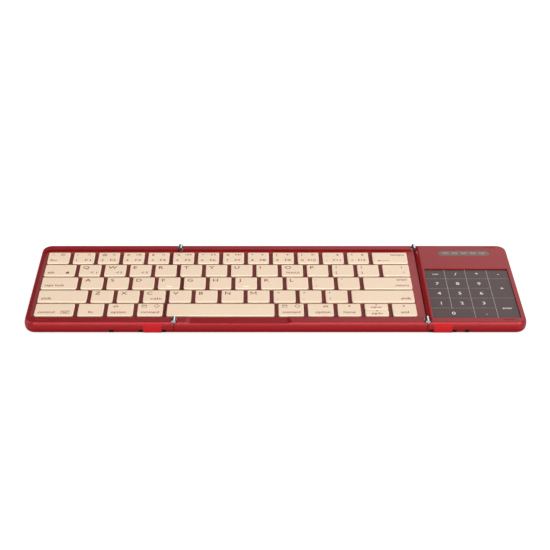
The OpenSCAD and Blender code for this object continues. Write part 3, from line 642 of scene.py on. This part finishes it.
class Print:
    """Marks printed on one flat face, gathered into one mesh. Places are in metres."""

    def __init__(self, face):
        self.mesh = bmesh.new()
        self.low = face - INK_SINK
        self.high = face + INK_RISE

    def polygon(self, points):
        """A filled outline, given counterclockwise."""
        add_tube(self.mesh, [[(x, y, self.low), (x, y, self.high)] for x, y in points])

    def bar(self, x0, y0, x1, y1, width):
        """A straight stroke."""
        length = math.hypot(x1 - x0, y1 - y0)
        across = ((y1 - y0) / length * width / 2, (x0 - x1) / length * width / 2)
        self.polygon([
            (x0 + across[0], y0 + across[1]), (x1 + across[0], y1 + across[1]),
            (x1 - across[0], y1 - across[1]), (x0 - across[0], y0 - across[1]),
        ])

    def box(self, x0, y0, x1, y1):
        self.polygon([(x0, y0), (x1, y0), (x1, y1), (x0, y1)])

    def disc(self, x, y, radius):
        points = [on_circle(radius, i / CIRCLE_STEPS) for i in range(CIRCLE_STEPS)]
        self.polygon([(x + across, y + along) for across, along in points])

    def arc(self, x, y, radius, width, start=0.0, end=360.0):
        """A stroke along part of a circle, or the whole ring. Angles are in degrees."""
        whole = end - start >= 360
        steps = max(3, round(CIRCLE_STEPS * (end - start) / 360))
        lines = []
        for reach, level in ((-1, self.low), (1, self.low), (1, self.high), (-1, self.high)):
            away = radius + reach * width / 2
            turns = [
                math.radians(start + (end - start) * i / steps)
                for i in range(steps if whole else steps + 1)
            ]
            lines.append([(x + away * math.cos(t), y + away * math.sin(t), level) for t in turns])
        add_tube(self.mesh, lines, whole)

    def frame(self, x0, y0, x1, y1, width):
        """The outline of a box."""
        self.box(x0, y0, x1, y0 + width)
        self.box(x0, y1 - width, x1, y1)
        self.box(x0, y0 + width, x0 + width, y1 - width)
        self.box(x1 - width, y0 + width, x1, y1 - width)

    def word(self, text, x, y, height, anchor=0.0, width=None):
        """A word on the baseline y. Anchor 0 puts its left end at x, 0.5 its middle, 1 its right."""
        mesh = word_mesh(text, height)
        plain = [vertex.co.x for vertex in mesh.vertices]
        stretch = WIDE if width is None else width / (max(plain) - min(plain))
        start = x - stretch * (min(plain) + anchor * (max(plain) - min(plain)))
        middle = (self.low + self.high) / 2
        for vertex in mesh.vertices:
            vertex.co = (start + vertex.co.x * stretch, y + vertex.co.y, middle + vertex.co.z)
        self.mesh.from_mesh(mesh)
        bpy.data.meshes.remove(mesh)

    def piece(self, name, body, material):
        """Makes the marks a piece that rides on a body."""
        bmesh.ops.remove_doubles(self.mesh, verts=self.mesh.verts, dist=1e-7)
        bmesh.ops.recalc_face_normals(self.mesh, faces=self.mesh.faces)
        make_piece(name, self.mesh, body, material)


def keys_of(node):
    """The outlines of the key caps in a node, from left to right. Gaps between caps part them."""
    mesh = nodes[node].data
    low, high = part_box(node)
    spans = []
    for face in mesh.polygons:
        across = [mesh.vertices[i].co.x for i in face.vertices]
        spans.append((min(across), max(across)))
    joined = []
    for left, right in sorted(spans):
        if joined and left <= joined[-1][1] + CAP_GAP:
            joined[-1][1] = max(joined[-1][1], right)
        else:
            joined.append([left, right])
    return [Key(left, low.y, right, high.y, high.z) for left, right in joined]


# ---- Legends on the keys ----

LETTER = 3.7 * MM
DIGIT = 2.5 * MM
SMALL = 2.5 * MM
NAME = 2.8 * MM
# Room between a legend and the key's left or right edge, its back edge and its front edge.
SIDE_ROOM = 2.5 * MM
LETTER_ROOM = 2.1 * MM
BACK_ROOM = 2.1 * MM
FRONT_ROOM = 3.0 * MM
# How much wider than the built-in font the letters are.
WIDE = 1.2
# Half the height of most signs.
ICON = 1.3 * MM
# The height of a sign beside a small legend, from a key's back edge.
BESIDE = -BACK_ROOM - SMALL / 2


def legend(marks, key, text, y, height, anchor, width, room):
    x = key.left + room + anchor * (key.right - key.left - 2 * room)
    marks.word(text, x, y, height, anchor, width)


def at_back(marks, key, text, height, anchor=0.0, width=None, room=SIDE_ROOM):
    """A legend in the back part of a key, by its left edge, its middle or its right edge."""
    legend(marks, key, text, key.back - BACK_ROOM - height, height, anchor, width, room)


def at_front(marks, key, text, height, anchor=0.0, width=None, room=SIDE_ROOM, rise=FRONT_ROOM):
    """A legend in the front part of a key."""
    legend(marks, key, text, key.front + rise, height, anchor, width, room)


# Signs. Each stroke is a method of Print, its points and its lengths in shares of the sign's
# size, and the two ends of an arc in degrees.
HEADS = {
    "left": [(-0.8, 0), (0.6, -0.7), (0.6, 0.7)],
    "right": [(0.8, 0), (-0.6, 0.7), (-0.6, -0.7)],
    "up": [(0, 0.7), (-0.8, -0.6), (0.8, -0.6)],
    "down": [(0, -0.7), (0.8, 0.6), (-0.8, 0.6)],
}


def head(way, across=0.0, along=0.0):
    """A small triangle that points left, right, up or down."""
    return (Print.polygon, [(across + x, along + y) for x, y in HEADS[way]], ())


SUN = [(Print.arc, [(0, 0)], (0.45, 0.16))] + [
    (Print.bar, [on_circle(0.7, i / 8), on_circle(1, i / 8)], (0.16,)) for i in range(8)
]
TILES = [
    (Print.frame, [(-1.5, -0.8), (-0.1, 0.8)], (0.18,)),
    (Print.frame, [(0.2, -0.8), (1.5, -0.1)], (0.18,)),
    (Print.frame, [(0.2, 0.2), (1.5, 0.8)], (0.18,)),
]
LENS = [
    (Print.arc, [(-0.2, 0.2)], (0.6, 0.2)),
    (Print.bar, [(0.25, -0.25), (0.9, -0.9)], (0.24,)),
]
SKIP_BACK = [head("left", -0.5), head("left", 1.1), (Print.box, [(-1.75, -0.7), (-1.45, 0.7)], ())]
PLAY = [head("right", -0.7)] + [
    (Print.box, [(start, -0.7), (start + 0.3, 0.7)], ()) for start in (0.5, 1.1)
]
SKIP_ON = [head("right", -1.1), head("right", 0.5), (Print.box, [(1.45, -0.7), (1.75, 0.7)], ())]
SPEAKER = [(
    Print.polygon,
    [(-0.9, -0.35), (-0.45, -0.35), (0, -0.8), (0, 0.8), (-0.45, 0.35), (-0.9, 0.35)], (),
)]
QUIETER = SPEAKER + [(Print.arc, [(0, 0)], (0.55, 0.18), -50, 50)]
LOUDER = QUIETER + [(Print.arc, [(0, 0)], (0.95, 0.18), -50, 50)]
PADLOCK = [
    (Print.box, [(-0.6, -0.8), (0.6, 0.2)], ()),
    (Print.arc, [(0, 0.2)], (0.38, 0.18), 0, 180),
]
EJECT = [head("up", 0, 0.3), (Print.box, [(-0.8, -0.85), (0.8, -0.55)], ())]
POWER_RING = [(Print.arc, [(0, 0)], (0.75, 0.2)), (Print.disc, [(0, 0)], (0.22,))]
KEYBOARD = [
    (Print.frame, [(-1.8, -1), (1.8, 1)], (0.18,)),
    (Print.box, [(-0.9, -0.5), (0.9, -0.15)], ()),
] + [
    (Print.box, [(0.6 * i + 0.1, 0.15), (0.6 * i + 0.45, 0.5)], ())
    for i in (-2.5, -1.5, -0.5, 0.5, 1.5)
]
LOZENGE = [
    (Print.bar, [on_circle(1, i / 4), on_circle(1, (i + 1) / 4)], (0.2,)) for i in range(4)
]
WINDOW = [
    (Print.frame, [(-0.9, -0.8), (0.9, 0.8)], (0.18,)),
    (Print.box, [(-0.75, 0.25), (0.75, 0.45)], ()),
]
# A sender with two waves.
RADIO = [
    (Print.disc, [(-0.7, 0)], (0.22,)),
    (Print.arc, [(-0.7, 0)], (0.65, 0.18), -45, 45),
    (Print.arc, [(-0.7, 0)], (1.1, 0.18), -45, 45),
]
LONG_ARROW = [
    (Print.bar, [(0, 0), (8 * MM / ICON, 0)], (0.35 * MM / ICON,)),
    head("left"),
]
FUNCTION_SIGNS = (
    SUN, SUN, TILES, LENS, SKIP_BACK, PLAY, SKIP_ON, SPEAKER, QUIETER, LOUDER, PADLOCK, EJECT,
)


def sign_on(marks, key, sign, across, along, size=ICON):
    """Draws a sign in from a key's left and front edges, or from its right and back if negative.

    Across is None for the middle of the key.
    """
    x = (key.left + key.right) / 2
    if across is not None:
        x = across + (key.right if across < 0 else key.left)
    y = along + (key.back if along < 0 else key.front)
    for stroke, points, lengths, *angles in sign:
        places = [(x + size * a, y + size * b) for a, b in points]
        if stroke is Print.polygon:
            marks.polygon(places)
        else:
            widths = [size * length for length in lengths]
            stroke(marks, *sum(places, ()), *widths, *angles)


def number_key(marks, key, index):
    """Legends of a key in the number row: 1 is the key marked with the digit one."""
    at_back(marks, key, "!@#$%^&*()_+"[index - 1], SMALL)
    at_front(marks, key, "1234567890-="[index - 1], DIGIT)
    at_front(marks, key, "F" + str(index), SMALL, 1.0, (4.3 if index < 10 else 5.6) * MM)
    sign_on(marks, key, FUNCTION_SIGNS[index - 1], -SIDE_ROOM - 2 * MM, BESIDE)


def channel_mark(marks, key, number):
    """A small radio sign and the number of a paired device."""
    at_front(marks, key, str(number), SMALL, 1.0)
    sign_on(marks, key, RADIO, -SIDE_ROOM - 3.6 * MM, FRONT_ROOM + SMALL / 2, 1.3 * ICON)


def letter(marks, key, sign):
    """A letter in the back left corner of a key."""
    x, y = key.left + SIDE_ROOM, key.back - LETTER_ROOM - LETTER
    if sign != "M":
        marks.word(sign, x, y, LETTER)
        return
    # M is drawn in strokes, as the thickened font closes its narrow corners.
    wide, stroke = 3.7 * MM, 0.5 * MM
    for side in (0, wide):
        marks.bar(x + side, y, x + side, y + LETTER, stroke)
        marks.bar(x + side, y + LETTER, x + wide / 2, y + 0.25 * LETTER, stroke)


def stacked(marks, key, upper, lower):
    """Two signs, one above the other."""
    at_back(marks, key, upper, SMALL)
    at_front(marks, key, lower, SMALL)


def row(letters, *pairs):
    """The legends of a row of keys: letters, and then pairs of stacked signs."""
    marked = [(index, letter, sign) for index, sign in enumerate(letters)]
    return marked + [(index, stacked, *pair) for index, pair in enumerate(pairs, len(letters))]


def alt(anchor):
    return [
        (0, at_back, "alt", SMALL, anchor, 3.9 * MM, 3.5 * MM),
        (0, at_front, "option", NAME, anchor, 10.7 * MM),
    ]


def page(way, text):
    """The legends of a half-height key."""
    return [
        (0, sign_on, [head(way)], None, -1.6 * MM, 0.8 * ICON),
        (0, at_front, text, 2.1 * MM, 0.5, 7.5 * MM, SIDE_ROOM, 1.8 * MM),
    ]


def line_end(way, text, width):
    return [(0, sign_on, [head(way)], None, -3.2 * MM), (0, at_front, text, NAME, 0.5, width)]


META = [
    (0, sign_on, WINDOW, SIDE_ROOM + 2 * MM, BESIDE, 1.5 * ICON),
    (0, sign_on, LOZENGE, -SIDE_ROOM - 2 * MM, BESIDE, 1.5 * ICON),
    (0, at_front, "command", NAME, 0.5, 12.8 * MM),
]
# For each node, the marks on its keys: the key's place in the node, a function and what it takes.
LEGENDS = {
    "keys_left_number": [
        (0, at_back, "~", SMALL),
        (0, at_front, "Esc", DIGIT),
        (0, sign_on, POWER_RING, -SIDE_ROOM - 3 * MM, BESIDE, 1.5 * ICON),
        *((index, number_key, index) for index in range(1, 5)),
    ],
    "keys_left_upper": row("QWER") + [(index, channel_mark, index + 1) for index in range(3)],
    "keys_left_home": row("ASDF"),
    "keys_left_lower": row("ZXC") + [(2, at_front, "calc", SMALL, 1.0, 8.2 * MM)],
    "key_tab": [
        (0, at_front, "tab", NAME, 0.0, 4.9 * MM),
        (0, sign_on, PADLOCK, -SIDE_ROOM - 3 * MM, FRONT_ROOM + ICON, 1.5 * ICON),
    ],
    "key_caps_lock": [(0, at_front, "caps lock", NAME, 0.0, 14.6 * MM)],
    "key_left_shift": [(0, at_front, "shift", NAME, 0.0, 7.4 * MM)],
    "key_left_ctrl": [
        (0, at_front, "control", NAME, 0.0, 12 * MM),
        (0, sign_on, KEYBOARD, -SIDE_ROOM - 3.5 * MM, FRONT_ROOM + ICON, 1.3 * ICON),
    ],
    "key_fn": [(0, at_front, "fn", NAME, 0.5)],
    "key_left_alt": alt(0.0),
    "key_left_meta": META,
    "keys_centre_number": [(index, number_key, index + 5) for index in range(8)],
    "keys_centre_upper": row("TYUIOP", "{[", "}]") + [
        (4, at_front, "NumLk", SMALL, 1.0, 9.9 * MM),
    ],
    "keys_centre_home": row("GHJKL", ":;", "\"'"),
    "keys_centre_lower": row("VBNM", "<,", ">.", "?/"),
    "key_backspace": [
        (0, at_back, "backspace", SMALL, 1.0, 10.4 * MM, 2.1 * MM),
        (0, sign_on, LONG_ARROW, 4.5 * MM, FRONT_ROOM + 0.5 * MM),
    ],
    "key_backslash": [
        (0, at_back, "|", SMALL, 1.0, None, 5.5 * MM),
        (0, at_front, "\\", DIGIT, 1.0, None, 4 * MM),
        (0, at_front, "`", DIGIT, 0.0, None, 5 * MM),
    ],
    "key_enter": [
        (0, at_back, "enter", SMALL, 1.0, 8 * MM, 2.8 * MM),
        (0, at_front, "return", NAME, 1.0, 9.8 * MM),
    ],
    "key_right_shift": [(0, at_front, "shift", NAME, 1.0, 7.4 * MM)],
    "key_right_meta": META,
    "key_right_alt": alt(1.0),
    "key_home": line_end("left", "home", 8.5 * MM),
    "key_page_up": page("up", "pgup"),
    "key_page_down": page("down", "pgdn"),
    "key_end": line_end("right", "end", 5.6 * MM),
}


def print_keys():
    """The legends of every key, one piece for each moving group."""
    brown = ink("legend_ink", INK, screen(118, 46, 40))
    for node, legends in LEGENDS.items():
        keys = keys_of(node)
        marks = Print(keys[0].top)
        for index, mark, *details in legends:
            mark(marks, keys[index], *details)
        marks.piece("legends_" + node, nodes[node]["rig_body"], brown)


# The homing bars: half their length, half their depth, their height and how far they stand in.
BAR_HALF = 2.4 * MM
BAR_DEPTH = 0.5 * MM
BAR_RISE = 0.55 * MM
BAR_ROOM = 2.9 * MM
BAR_SINK = 0.1 * MM
# Each level of a bar from its foot up: its share of the height and how much it shrinks.
BAR_LEVELS = ((-BAR_SINK / BAR_RISE, 0), (0.6, 0), (0.9, 0.3), (1, 0.6))


def homing_bar(key, body, cream, name):
    """A short raised bar that a finger can feel, with rounded ends and top."""
    middle = (key.left + key.right) / 2
    lines = []
    for i in range(2 * CIRCLE_STEPS):
        line = []
        for share, shrink in BAR_LEVELS:
            across, along = on_circle(BAR_DEPTH * (1 - shrink), i / (2 * CIRCLE_STEPS))
            x = middle + math.copysign(BAR_HALF - BAR_DEPTH, across) + across
            y = key.front + BAR_ROOM + along
            line.append((x, y, key.top + share * BAR_RISE))
        lines.append(line)
    bar = bmesh.new()
    add_tube(bar, lines)
    made = make_piece(name, bar, body, cream)
    for face in made.data.polygons:
        face.use_smooth = len(face.vertices) == 4


def add_homing_bars():
    cream = moulded(
        "homing_bar_cream", CREAM_PALE_AND_HIGHLIGHT, CREAM, 0.35, 2400.0, 0.004 * MM, Specular_IOR_Level=0.4,
    ).material
    places = (("keys_left_home", 3, "homing_bar_left"), ("keys_centre_home", 2, "homing_bar_right"))
    for node, index, name in places:
        homing_bar(keys_of(node)[index], nodes[node]["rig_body"], cream, name)


# ---- The number pad ----

# Where the pad's columns start and end, as shares of its width.
PAD_COLUMNS = (0.0, 0.237, 0.485, 0.745, 1.0)
PAD_ROWS = 5
# Figures side by side, and the column and row where the first stands, counted in cells.
PAD_FIGURES = (
    ("/*-", 1.5, 0.5), ("789", 0.5, 1.5), ("456", 0.5, 2.5), ("123", 0.5, 3.5),
    ("+", 3.5, 2), ("0", 1, 4.5), (".", 2.5, 4.5),
)
LINE_W = 0.34 * MM
DOT_PITCH = 1.1 * MM
DOT_W = 0.6 * MM
PAD_DIGIT = 3.4 * MM
PAD_SHIFT = 0.4 * MM
# Words, their column, row, height and width.
PAD_WORDS = [("num", 0.5, 0.5, 2 * MM, 4.4 * MM), ("enter", 3.5, 4, 2.3 * MM, 7.2 * MM)]
# How far every line and figure below the first edge stands above even rows.
PAD_RISE = 0.5 * MM
# Room between the ends of the pad's upright and level lines and what they run up to.
UPRIGHT_ROOM = 0.3 * MM
LEVEL_ROOM = 0.4 * MM


def pad_point(column, row):
    """A point of the pad's grid. A half stands for the middle of a column or row."""
    low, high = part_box("touch_glass")
    first = int(column)
    share = PAD_COLUMNS[first]
    if column > first:
        share += (PAD_COLUMNS[first + 1] - share) * (column - first)
    step = (high.y - low.y) / PAD_ROWS
    return low.x + share * (high.x - low.x), high.y - row * step + (PAD_RISE if row else 0)


def print_pad_lines():
    """The pad's grid, drawn on the glass: upright lines and level rows of dots."""
    low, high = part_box("touch_glass")
    step = (high.y - low.y) / PAD_ROWS
    lines = Print(high.z)
    for column in (1, 2, 3):
        first = low.y + (step if column == 1 else UPRIGHT_ROOM)
        x = pad_point(column, 0)[0]
        lines.box(x - LINE_W / 2, first, x + LINE_W / 2, high.y - UPRIGHT_ROOM)
    for row in (1, 2, 3, 4):
        x, y = pad_point(3 if row in (2, 4) else 4, row)
        start, length = low.x + LEVEL_ROOM, x - low.x - 2 * LEVEL_ROOM
        count = int(length / DOT_PITCH)
        for i in range(count):
            middle = start + (i + 0.5) * length / count
            lines.box(middle - DOT_W / 2, y - LINE_W / 2, middle + DOT_W / 2, y + LINE_W / 2)
    grey = ink("pad_line_ink", PRINT_GREY, PRINT_GREY)
    lines.piece("number_pad_lines", "right_wing", grey)


def print_pad_figures():
    """The pad's figures and words, each in the middle of its cell."""
    figures = Print(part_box("touch_glass")[1].z)
    marks = [
        (figure, column + i, row, PAD_DIGIT, None)
        for text, column, row in PAD_FIGURES for i, figure in enumerate(text)
    ]
    for text, column, row, height, width in marks + PAD_WORDS:
        x, y = pad_point(column, row)
        figures.word(text, x + PAD_SHIFT, y - height / 2, height, 0.5, width)
    white = ink("pad_figure_ink", PRINT_WHITE, PRINT_WHITE)
    figures.piece("number_pad_figures", "right_wing", white)


INDICATORS = ("CH1", "CH2", "CH3", "NUM", "CAP")
INDICATOR_PITCH = 7 * MM


def print_indicators():
    """Small names of the indicator lamps on their window."""
    low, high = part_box("indicator_window")
    marks = Print(high.z)
    baseline = low.y + 0.36 * (high.y - low.y)
    for i, name in enumerate(INDICATORS):
        x = (low.x + high.x) / 2 + (i - (len(INDICATORS) - 1) / 2) * INDICATOR_PITCH
        marks.word(name, x, baseline, 2.1 * MM, 0.5, 4.3 * MM)
    pale = ink("indicator_ink", screen(186, 178, 172), screen(176, 168, 162))
    marks.piece("indicator_names", "right_wing", pale)


# ---- Foot strips, and strips of painted shade in the slots and seams ----

# The shells' edges bulge between two fillets: radius and height of each arc's middle.
BULGE_R, BULGE_Z = 10 * MM, 5.15 * MM
LOWER_R, LOWER_Z = 3 * MM, 3.3 * MM
UPPER_R, UPPER_Z = 0.6 * MM, 9.1 * MM
FOOT_FRONT_TOP = 8.7 * MM
FOOT_BACK_TOP = 9.6 * MM
FOOT_PROUD = 0.3 * MM
FOOT_FIT = 0.02 * MM
SLOT_W = 3.2 * MM
# Strips of painted shade in the slots: their bottom and top, and how far they stand out and reach in.
SLOT_SHADE_BOTTOM, SLOT_SHADE_TOP = 0.8 * MM, 4.2 * MM
SLOT_SHADE_PROUD, SLOT_SHADE_DEEP = 0.05 * MM, 0.3 * MM
# Where the painted shade strips of a wing's far end stand, beyond the outer edge of its foot strip.
SLOT_SHADE_BEYOND = {"left": -21 * MM - SLOT_W, "right": 9 * MM}
# Strips of painted shade in the seams: their room to the walls, their bottom, and how far in they
# start and end.
SEAM_SHADE_FIT = 0.1 * MM
SEAM_SHADE_BOTTOM = 0.6 * MM
SEAM_SHADE_IN, SEAM_SHADE_DEEP = 0.04 * MM, 0.5 * MM
# How many steps each arc of an edge has.
ARC_STEPS = 8


def turn_at(rise, radius):
    """The angle at which an arc has risen so far, held to its top and bottom."""
    return math.asin(max(-1.0, min(1.0, rise / radius)))


def edge_outline(grow, bottom, top):
    """Points (y, z) up the back edge of the shells between two heights, set out by grow."""
    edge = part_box("centre_case")[1].y

    def middle(radius, z):
        return edge - BULGE_R + math.sqrt((BULGE_R - radius) ** 2 - (z - BULGE_Z) ** 2)

    lower = turn_at(LOWER_Z - BULGE_Z, BULGE_R - LOWER_R)
    upper = turn_at(UPPER_Z - BULGE_Z, BULGE_R - UPPER_R)
    arcs = (
        (middle(LOWER_R, LOWER_Z), LOWER_Z, LOWER_R + grow, -math.pi / 2, lower),
        (edge - BULGE_R, BULGE_Z, BULGE_R + grow, lower, upper),
        (middle(UPPER_R, UPPER_Z), UPPER_Z, UPPER_R + grow, upper, math.pi / 2),
    )
    points = []
    for y, z, radius, first, last in arcs:
        first = max(first, turn_at(bottom - z, radius))
        last = min(last, turn_at(top - z, radius))
        if last > first:
            for i in range(ARC_STEPS + 1):
                turn = first + (last - first) * i / ARC_STEPS
                points.append((y + radius * math.cos(turn), z + radius * math.sin(turn)))
    return points


def flip(points):
    """The same points on the front edge, from the top down."""
    return [(-y, z) for y, z in reversed(points)]


def add_band(mesh, x0, x1, outer, inner):
    """A closed band between two lines of points, from x0 to x1."""
    corners = ((x0, outer), (x1, outer), (x1, inner), (x0, inner))
    add_tube(mesh, [[(x, y, z) for y, z in line] for x, line in corners])


def band_piece(name, mesh, body, material, bevel):
    """Makes bands one piece with softened edges."""
    bmesh.ops.remove_doubles(mesh, verts=mesh.verts, dist=1e-6)
    bmesh.ops.recalc_face_normals(mesh, faces=mesh.faces)
    made = make_piece(name, mesh, body, material)
    made.data.shade_smooth()
    made.data.set_sharp_from_angle(angle=math.radians(35))
    softened = made.modifiers.new("softened", "BEVEL")
    softened.width = bevel
    softened.segments = 2
    softened.limit_method = "ANGLE"
    softened.angle_limit = math.radians(50)
    return made


def foot_strip(side, material):
    """A strip under a wing that wraps round its front and back edges."""
    node = side + "_foot_strip"
    low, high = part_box(node)
    lines = [
        flip(edge_outline(grow, 0.0, FOOT_FRONT_TOP)) + edge_outline(grow, 0.0, FOOT_BACK_TOP)
        for grow in (FOOT_PROUD, FOOT_FIT)
    ]
    mesh = bmesh.new()
    add_band(mesh, low.x, high.x, *lines)
    made = band_piece(node + "_moulding", mesh, side + "_wing", material, 0.1 * MM)
    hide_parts(node)


def edge_strips(name, body, spans, heights, reaches, material, bevel):
    """Dark strips of painted shade in the back and front edges of the shells, between two heights."""
    outer, inner = (edge_outline(reach, *heights) for reach in reaches)
    mesh = bmesh.new()
    for x0, x1 in spans:
        add_band(mesh, x0, x1, outer, inner)
        add_band(mesh, x0, x1, flip(outer), flip(inner))
    band_piece(name, mesh, body, material, bevel)


def slot_liners(side, material):
    """Dark strips of painted shade in the small slots along the bottom edges of a wing."""
    low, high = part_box(side + "_foot_strip")
    far = (low.x if side == "left" else high.x) + SLOT_SHADE_BEYOND[side]
    edge_strips(
        side + "_slot_liners", side + "_wing",
        [(x, x + SLOT_W) for x in (low.x - SLOT_W, high.x, far)],
        (SLOT_SHADE_BOTTOM, SLOT_SHADE_TOP), (SLOT_SHADE_PROUD, -SLOT_SHADE_DEEP), material, 0.04 * MM,
    )


def seam_gaskets(material):
    """Dark strips of painted shade that fill the seams between the panels along their front and back
    edges.
    """
    low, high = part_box("hinge_pins")
    pin_r = (high.z - low.z) / 2
    half, fitted = SEAM / 2, SEAM / 2 - SEAM_SHADE_FIT
    left, right = low.x + pin_r, high.x - pin_r
    edge_strips(
        "seam_gaskets", "centre_panel",
        [(left - fitted, left + half), (right - half, right + fitted)],
        (SEAM_SHADE_BOTTOM, UPPER_Z + UPPER_R), (-SEAM_SHADE_IN, -SEAM_SHADE_DEEP), material, 0.03 * MM,
    )


def add_feet():
    rubber = red_rubber()
    # A near-black for the strips of painted shade in the slots and seams.
    dark = moulded(
        "painted_shade_black", screen(20, 8, 8), screen(14, 6, 6), 0.7, 1800.0, 0.01 * MM,
        Specular_IOR_Level=0.1,
    ).material
    for side in ("left", "right"):
        foot_strip(side, rubber)
        slot_liners(side, dark)
    seam_gaskets(dark)


# ---- Lifts and domes under the keys ----


def part_under(source, low, high):
    """The faces of a CAD node that lie within one rectangle."""
    part = bmesh.new()
    part.from_mesh(nodes[source].data)
    outside = []
    for face in part.faces:
        middle = face.calc_center_median()
        if not (low.x < middle.x < high.x and low.y < middle.y < high.y):
            outside.append(face)
    bmesh.ops.delete(part, geom=outside, context="FACES")
    bmesh.ops.remove_doubles(part, verts=part.verts, dist=1e-7)
    return part


def fold_under_keys(source):
    """Splits the lifts or domes of a panel by key, into one piece under each key."""
    material = nodes[source].material_slots[0].material
    for key in [name for name in nodes if name.startswith("key")]:
        part = part_under(source, *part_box(key))
        if not part.faces:
            part.free()
            continue
        made = make_piece(source + "_of_" + key, part, nodes[source]["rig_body"], material)
        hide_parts(source)
        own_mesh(made)


def add_lifts():
    for side in ("left", "centre"):
        fold_under_keys(side + "_scissors")
        fold_under_keys(side + "_domes")


# ---- Stage ----

CAMERA_PLACE = (-12.25 * MM, -765.15 * MM, 530.6 * MM)
CAMERA_TILT = 56.1
LENS_MM, SENSOR_MM = 81.8, 36
CAMERA_SHIFT = 0.0304


def camera():
    """A long lens above the front, a little left of the middle."""
    data = bpy.data.cameras.new("camera")
    data.lens = LENS_MM
    data.sensor_width = SENSOR_MM
    data.shift_x = CAMERA_SHIFT
    made = show("camera", data)
    made.location = CAMERA_PLACE
    made.rotation_euler = (math.radians(CAMERA_TILT), 0, 0)
    bpy.context.scene.camera = made


# How bright the floor itself is to the camera, and in reflections.
FLOOR_SHINE = 0.7
FLOOR_MIRROR = 0.25
FLOOR_HALF = 8.0


def floor():
    """A white floor that stays white and keeps the keyboard's shadow."""
    material = bpy.data.materials.new("floor_white")
    material.use_nodes = True
    tree = material.node_tree
    tree.nodes.clear()
    output = tree.nodes.new("ShaderNodeOutputMaterial")
    paint = tree.nodes.new("ShaderNodeBsdfDiffuse")
    fill(tree, paint, Color=(0.5, 0.5, 0.5, 1))
    glow = tree.nodes.new("ShaderNodeEmission")
    rays = tree.nodes.new("ShaderNodeLightPath").outputs
    level = 0.0
    for ray, strength in (
        ("Is Camera Ray", FLOOR_SHINE), ("Is Transmission Ray", FLOOR_SHINE),
        ("Is Glossy Ray", FLOOR_MIRROR),
    ):
        level = calculate(tree, "MAXIMUM", level, calculate(tree, "MULTIPLY", rays[ray], strength))
    fill(tree, glow, Strength=level)
    both = tree.nodes.new("ShaderNodeAddShader")
    feed(tree, both.inputs[0], paint.outputs[0])
    feed(tree, both.inputs[1], glow.outputs[0])
    fill(tree, output, Surface=both.outputs[0])
    mesh = bpy.data.meshes.new("floor")
    corners = [(x * FLOOR_HALF, y * FLOOR_HALF, 0) for x, y in ((-1, -1), (1, -1), (1, 1), (-1, 1))]
    mesh.from_pydata(corners, [], [(0, 1, 2, 3)])
    mesh.materials.append(material)
    show("floor", mesh)


# Strengths of the studio's light: all round, from above and in front, and low at the back.
SURROUNDINGS = 0.13
BACKDROP = 0.04
DOME = 0.62
DOME_FOOT = 0.25
DOME_TOP = 1.35
GLOW_LEFT = 0.05
GLOW_RIGHT = 1.7


# The sky's strength is a sum of products. Each factor is an axis of the view direction, where the
# factor starts and stops changing along it, and its values there.
SKY = (
    (
        ("X", -0.25, 0.3, GLOW_LEFT, GLOW_RIGHT), ("X", 0.4, 0.75, 1.0, 0.2),
        ("Y", 0.1, 0.6, 0.0, 1.0), ("Z", 0.62, 0.85, 1.0, 0.0),
    ),
    (("Y", -0.05, 0.5, DOME, 0.0), ("Z", 0.0, 0.85, DOME_FOOT, DOME_TOP)),
    (("Y", 0.0, 0.6, SURROUNDINGS, BACKDROP),),
)


def world():
    """A soft dome above and in front, and a broad glow low at the back, stronger to the right."""
    made = bpy.data.worlds.new("studio")
    made.use_nodes = True
    bpy.context.scene.world = made
    tree = made.node_tree
    background = tree.nodes["Background"]
    direction = tree.nodes.new("ShaderNodeTexCoord").outputs["Generated"]
    parts = tree.nodes.new("ShaderNodeSeparateXYZ")
    fill(tree, parts, Vector=direction)
    total = 0.0
    for ramps in SKY:
        product = 1.0
        for axis, *ends in ramps:
            ramp = map_range(tree, parts.outputs[axis], *ends, interpolation="SMOOTHSTEP")
            product = calculate(tree, "MULTIPLY", product, ramp)
        total = calculate(tree, "ADD", total, product)
    # The camera itself sees plain white beyond the floor.
    seen = tree.nodes.new("ShaderNodeMix")
    from_camera = tree.nodes.new("ShaderNodeLightPath").outputs["Is Camera Ray"]
    fill(tree, seen, Factor=from_camera, A=total, B=1.0)
    fill(tree, background, Color=(1, 1, 1, 1), Strength=seen.outputs["Result"])


def lamp(name, place, width, height, power):
    """A rectangular soft box that faces the keyboard."""
    data = bpy.data.lights.new(name, "AREA")
    data.shape = "RECTANGLE"
    data.size = width
    data.size_y = height
    data.energy = power
    made = show(name, data)
    made.location = place
    made.rotation_euler = made.location.to_track_quat("Z", "Y").to_euler()
    return made


def lights():
    """Panels at the sides and in front. The nose panel lights reflections alone."""
    lamp("left_panel", (-1.4, -0.35, 0.42), 0.7, 0.7, 8)
    lamp("front_panel", (0.6, -1.55, 0.5), 2.6, 0.6, 17)
    lamp("right_front_panel", (1.1, -1.2, 0.3), 0.6, 0.4, 4)
    lamp("nose_panel", (0.3, -1.5, 0.44), 2.8, 0.4, 16).visible_diffuse = False
    lamp("right_panel", (0.8, -0.3, 0.42), 0.4, 0.4, 1.3)


bpy.context.scene.view_settings.view_transform = "Standard"
dress_outside()
dress_inside()
print_keys()
add_homing_bars()
print_pad_lines()
print_pad_figures()
print_indicators()
add_feet()
add_lifts()
camera()
floor()
world()
lights()
